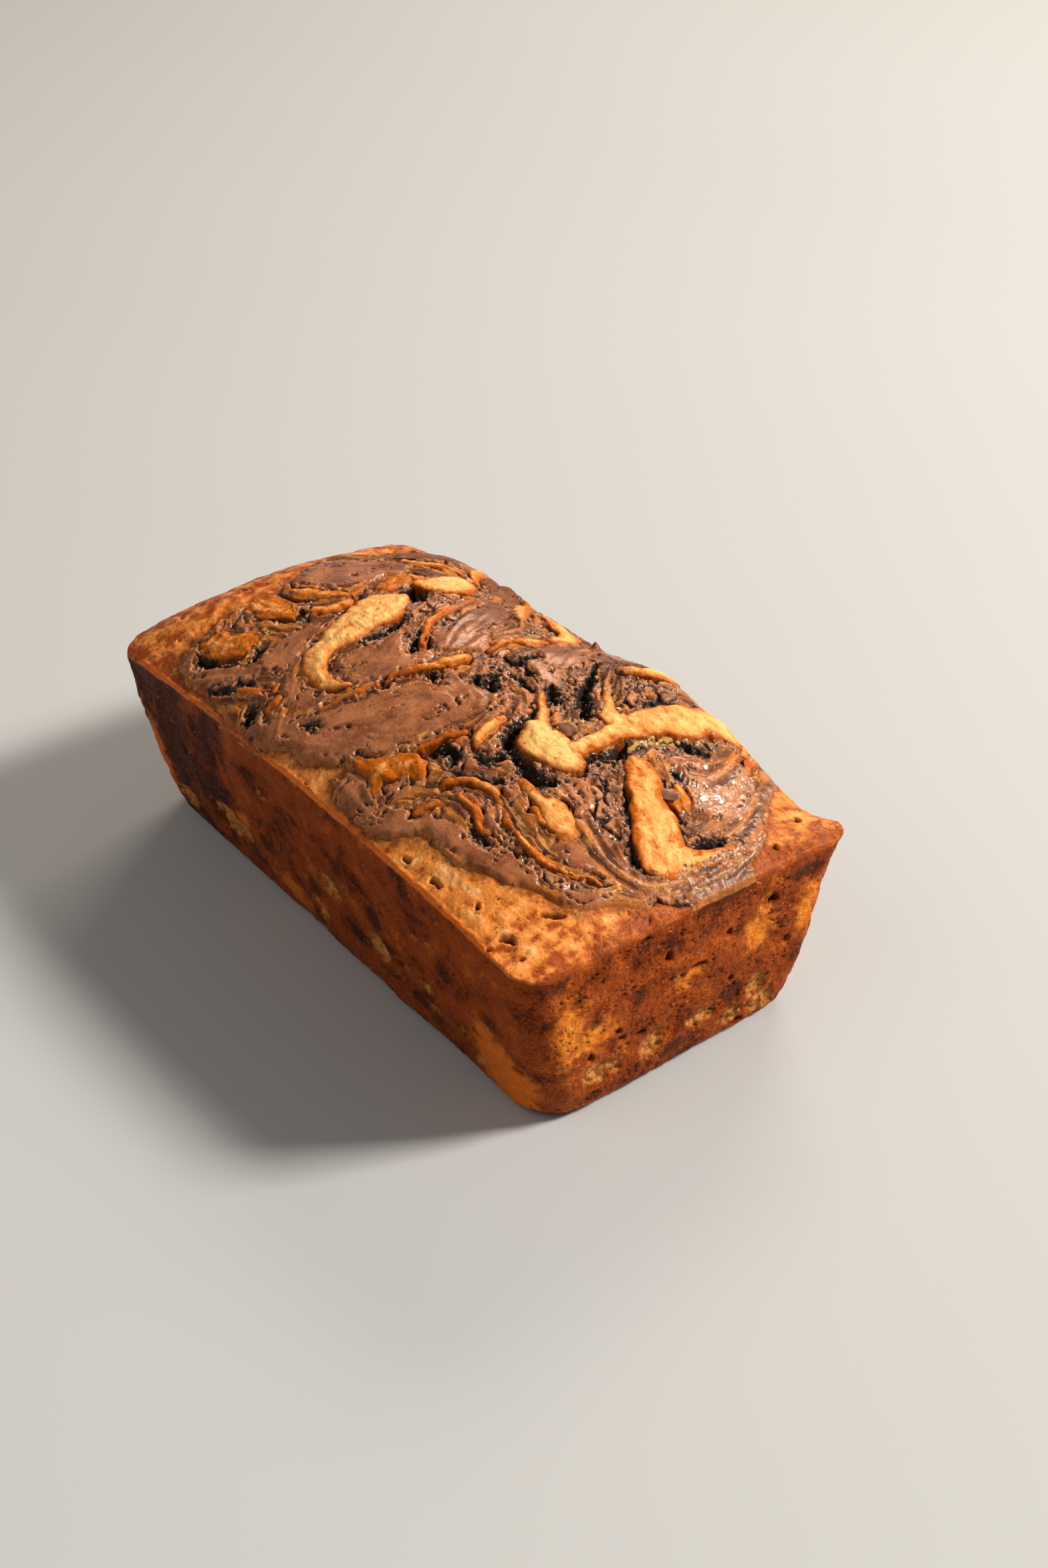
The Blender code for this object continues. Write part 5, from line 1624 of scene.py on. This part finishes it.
def sideMaterial():
    look = sideLook
    material, tree, surface, place = newMaterial("tinCrust", look["surface"])
    coarse = attribute(tree, "coarse")
    wander = unevenness(tree, place, 1.3, 0.65)
    blotch = unevenness(tree, place, 4.0, 0.6)

    def ragged(label, reach, blotchReach=0.0):
        return plus(tree, blotch, blotchReach, plus(tree, wander, reach, attribute(tree, label)))

    mottle = plus(tree, coarse, *look["mottle"])
    colour = bakedColour(tree, place, look, attribute(tree, "tone"), Mottle=mottle)
    glow = between(tree, ragged("glow", 2.5, 9.0), -2.5, 4.5, 0.0, 0.9)
    gilded = between(tree, noiseOf(tree, place, 2.2, 5.0, 0.75), 0.38, 0.6)
    gilded = mixed(tree, product(tree, gilded, coarse, coarse), look["glowDark"], look["glow"])
    colour = mixed(tree, glow, colour, gilded)
    colour = mixed(tree, between(tree, ragged("below", 2.0), 0.8, 0.0, 0.0, 0.6), colour, look["rim"])
    smudge = between(tree, ragged("smudge", 2.0), -1.2, 1.2, 0.0, 0.75)
    colour = mixed(tree, smudge, colour, look["smudge"])
    torn = between(tree, ragged("torn", 3.0, 4.0), -0.8, 1.8, 0.0, 0.9)
    crumb = between(tree, noiseOf(tree, place, 1.7, 3.0, 0.65), 0.35, 0.6)
    colour = mixed(tree, torn, colour, mixed(tree, crumb, look["tornDark"], look["torn"]))
    small = product(tree, poresOf(tree, place, look["smallPores"]), look["smallShare"])
    pore = calc(tree, "MAXIMUM", small, poresOf(tree, place, look["largePores"]))
    pore = product(tree, pore, coarse)
    colour = mixed(tree, product(tree, pore, look["poreShade"]), colour, look["pore"])
    # Painted glints: pale specks, also made less rough so that they shine.
    shifted = addNode(tree, "ShaderNodeVectorMath", operation="ADD")
    feed(tree, shifted.inputs[0], place)
    feed(tree, shifted.inputs[1], look["glintShift"])
    paintedGlint = poresOf(tree, shifted.outputs["Vector"], look["paintedGlints"])
    colour = mixed(tree, product(tree, paintedGlint, look["paintedGlintShare"]), colour, look["paintedGlint"])
    # Pits and holes are darkened in colour: painted shade over the dark crumb.
    feed(tree, surface.inputs["Base Color"], mixed(tree, attribute(tree, "shadedHollow"), colour, look["pore"]))
    addGrain(tree, surface, place, look, pore, paintedGlint)
    return material


crustLook = {
    "surface": {"IOR": 1.45, "Specular IOR Level": 0.2, "Specular Tint": (1.0, 0.72, 0.45, 1.0)},
    "light": (0.90, 0.410, 0.140), "middle": (0.76, 0.240, 0.042), "dark": (0.34, 0.056, 0.008),
    "pore": (0.07, 0.008, 0.002), "rim": (0.78, 0.150, 0.011), "stain": (0.22, 0.040, 0.010),
    "bake": {"Patch": 6.0, "Spread": 1.3, "Mottle": 0.8},
    "tone": 0.44, "shadeTone": -0.3, "bandTone": -0.2, "rimTone": 0.16,
    "endTone": 0.4, "endBake": {"Patch": 6.0, "Spread": 1.9, "Mottle": 1.1},
    "smallPores": {"Size": 0.9, "Width": 0.22, "Share": 0.45},
    "largePores": {"Size": 2.8, "Width": 0.15, "Share": 0.3}, "poreShade": 0.65, "poreDepth": 0.3,
    "grain": {"Size": 0.9, "Height": 0.28}, "roughness": (0.2, 0.30), "bump": 0.9,
}


def rimCrustMaterial():
    look = crustLook
    material, tree, surface, place = newMaterial("plainCrust", look["surface"])
    wander = unevenness(tree, place, 1.6, 0.65)

    def ragged(label, reach):
        return plus(tree, wander, reach, attribute(tree, label))

    tone = plus(tree, attribute(tree, "shade"), look["shadeTone"], look["tone"])
    tone = plus(tree, attribute(tree, "bands"), look["bandTone"], tone)
    nearRim = between(tree, attribute(tree, "rimDistance"), 6.0, 0.0, 0.0, look["rimTone"])
    colour = bakedColour(tree, place, look, calc(tree, "ADD", tone, nearRim))
    rim = between(tree, ragged("rimDistance", 2.0), 1.7, 0.5, 0.0, 0.85)
    colour = mixed(tree, rim, colour, look["rim"])
    stain = between(tree, ragged("edge", 6.0), -3.2, 0.3, 0.0, 0.85)
    colour = mixed(tree, stain, colour, look["stain"])
    # By the near end the crust takes the colour of the side below it.
    endCrust = bakedColour(tree, place, {**sideLook, "bake": look["endBake"]}, look["endTone"])
    colour = mixed(tree, between(tree, ragged("wallLike", 2.2), -0.3, 0.6), colour, endCrust)
    small = poresOf(tree, place, look["smallPores"])
    pore = calc(tree, "MAXIMUM", small, poresOf(tree, place, look["largePores"]))
    colour = mixed(tree, product(tree, pore, look["poreShade"]), colour, look["pore"])
    # Pits, holes and dimples are darkened in colour: painted shade over the dark crumb.
    feed(tree, surface.inputs["Base Color"], mixed(tree, attribute(tree, "shadedHollow"), colour, look["pore"]))
    addGrain(tree, surface, place, look, pore)
    return material


chipLook = {
    "surface": {"IOR": 1.47}, "dark": (0.18, 0.060, 0.028), "pale": (0.30, 0.12, 0.06), "patchSize": 2.0,
    "grain": {"Size": 1.2, "Height": 0.05}, "roughness": (0.15, 0.3), "bump": 1.0,
}


def chipMaterial():
    look = chipLook
    material, tree, surface, place = newMaterial("chipChocolate", look["surface"])
    colour = mixed(tree, noiseOf(tree, place, look["patchSize"], 2.0, 0.6), look["dark"], look["pale"])
    feed(tree, surface.inputs["Base Color"], colour)
    addGrain(tree, surface, place, look)
    return material


flakeLook = {
    "surface": {"IOR": 1.46}, "dark": (0.05, 0.016, 0.008), "patchSize": 2.2,
    "grain": {"Size": 0.6, "Height": 0.10}, "roughness": (0.2, 0.34), "bump": 1.0,
}


def flakeMaterial():
    look = flakeLook
    material, tree, surface, place = newMaterial("cocoaFlake", look["surface"])
    patch = between(tree, noiseOf(tree, place, look["patchSize"], 2.0, 0.6), 0.35, 0.7)
    colour = mixed(tree, patch, chocolateLook["rough"], chocolateLook["crumbLitPale"])
    speckle = addGrain(tree, surface, place, look)
    feed(tree, surface.inputs["Base Color"], mixed(tree, speckle, look["dark"], colour))
    return material


floorLook = {
    "surface": {"Roughness": 0.8}, "dark": (0.47, 0.46, 0.44), "pale": (0.49, 0.48, 0.46), "patchSize": 400.0,
}


def floorMaterial():
    look = floorLook
    material, tree, surface, place = newMaterial("paleFloor", look["surface"])
    colour = mixed(tree, noiseOf(tree, place, look["patchSize"]), look["dark"], look["pale"])
    feed(tree, surface.inputs["Base Color"], colour)
    return material


print("stage: materials")
for pieces, material in (
    (chocolatePieces, chocolateMaterial()), (batterPieces, batterMaterial()),
    (rimPieces, rimCrustMaterial()), (sidePieces, sideMaterial()),
    ([chipsPiece], chipMaterial()), ([flakesPiece], flakeMaterial()),
):
    for piece in pieces:
        piece.data.materials.append(material)
        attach(piece, "root")
        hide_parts("loaf")
        print("piece", piece.name, len(piece.data.polygons), "faces")


# Floor, light and camera.
studio = {
    "floorHalf": 6.0,
    "world": (0.92, 0.91, 0.90), "worldStrength": 0.21,
    "lights": (                 # name, place, width, height, power, colour; all point at the loaf
        ("windowRight", (1.12, 1.50, 1.50), 0.48, 0.48, 84.0, (1.0, 0.975, 0.93)),
        ("windowBack", (-1.15, 1.65, 1.4), 1.1, 0.6, 24.0, (1.0, 0.90, 0.76)),
        ("fillLeft", (-0.2, -1.5, 1.8), 1.6, 1.2, 8.0, (1.0, 0.97, 0.94)),
    ),
    "cameraPlace": (0.417376, -0.290569, 0.389042),
    "yaw": -52.933, "pitch": 34.460, "roll": -0.678,     # degrees
    "focalPixels": 3014.12, "imageHeight": 2345,
}


def makeFloor():
    half = studio["floorHalf"]
    mesh = bpy.data.meshes.new("floor")
    corners = [(-half, -half, 0), (half, -half, 0), (half, half, 0), (-half, half, 0)]
    mesh.from_pydata(corners, [], [(0, 1, 2, 3)])
    floor = bpy.data.objects.new("floor", mesh)
    mesh.materials.append(floorMaterial())
    bpy.context.scene.collection.objects.link(floor)


def makeLights():
    for name, place, width, height, power, colour in studio["lights"]:
        data = bpy.data.lights.new(name, "AREA")
        data.shape = "RECTANGLE"
        data.size = width
        data.size_y = height
        data.energy = power
        data.color = colour
        lamp = bpy.data.objects.new(name, data)
        lamp.location = place
        lamp.rotation_mode = "QUATERNION"
        lamp.rotation_quaternion = (Vector((0.0, 0.0, 0.05)) - Vector(place)).to_track_quat("-Z", "Y")
        bpy.context.scene.collection.objects.link(lamp)
    world = bpy.data.worlds.new("studio")
    world.use_nodes = True
    world.node_tree.nodes["Background"].inputs["Color"].default_value = (*studio["world"], 1.0)
    world.node_tree.nodes["Background"].inputs["Strength"].default_value = studio["worldStrength"]
    bpy.context.scene.world = world


def makeCamera():
    yaw = math.radians(studio["yaw"])
    pitch = math.radians(studio["pitch"])
    roll = math.radians(studio["roll"])
    forward = Vector((math.sin(yaw) * math.cos(pitch), math.cos(yaw) * math.cos(pitch), -math.sin(pitch)))
    level = Vector((math.cos(yaw), -math.sin(yaw), 0.0))
    upright = level.cross(forward)
    right = math.cos(roll) * level + math.sin(roll) * upright
    up = -math.sin(roll) * level + math.cos(roll) * upright
    data = bpy.data.cameras.new("camera")
    data.sensor_fit = "VERTICAL"
    data.sensor_height = 36.0
    data.lens = studio["focalPixels"] * data.sensor_height / studio["imageHeight"]
    data.clip_start = 0.01
    camera = bpy.data.objects.new("camera", data)
    turned = Matrix((right, up, -forward)).transposed().to_4x4()
    camera.matrix_world = Matrix.Translation(studio["cameraPlace"]) @ turned
    bpy.context.scene.collection.objects.link(camera)
    bpy.context.scene.camera = camera


print("stage: floor, light and camera")
makeFloor()
makeLights()
makeCamera()
bpy.context.scene.view_settings.view_transform = "Standard"
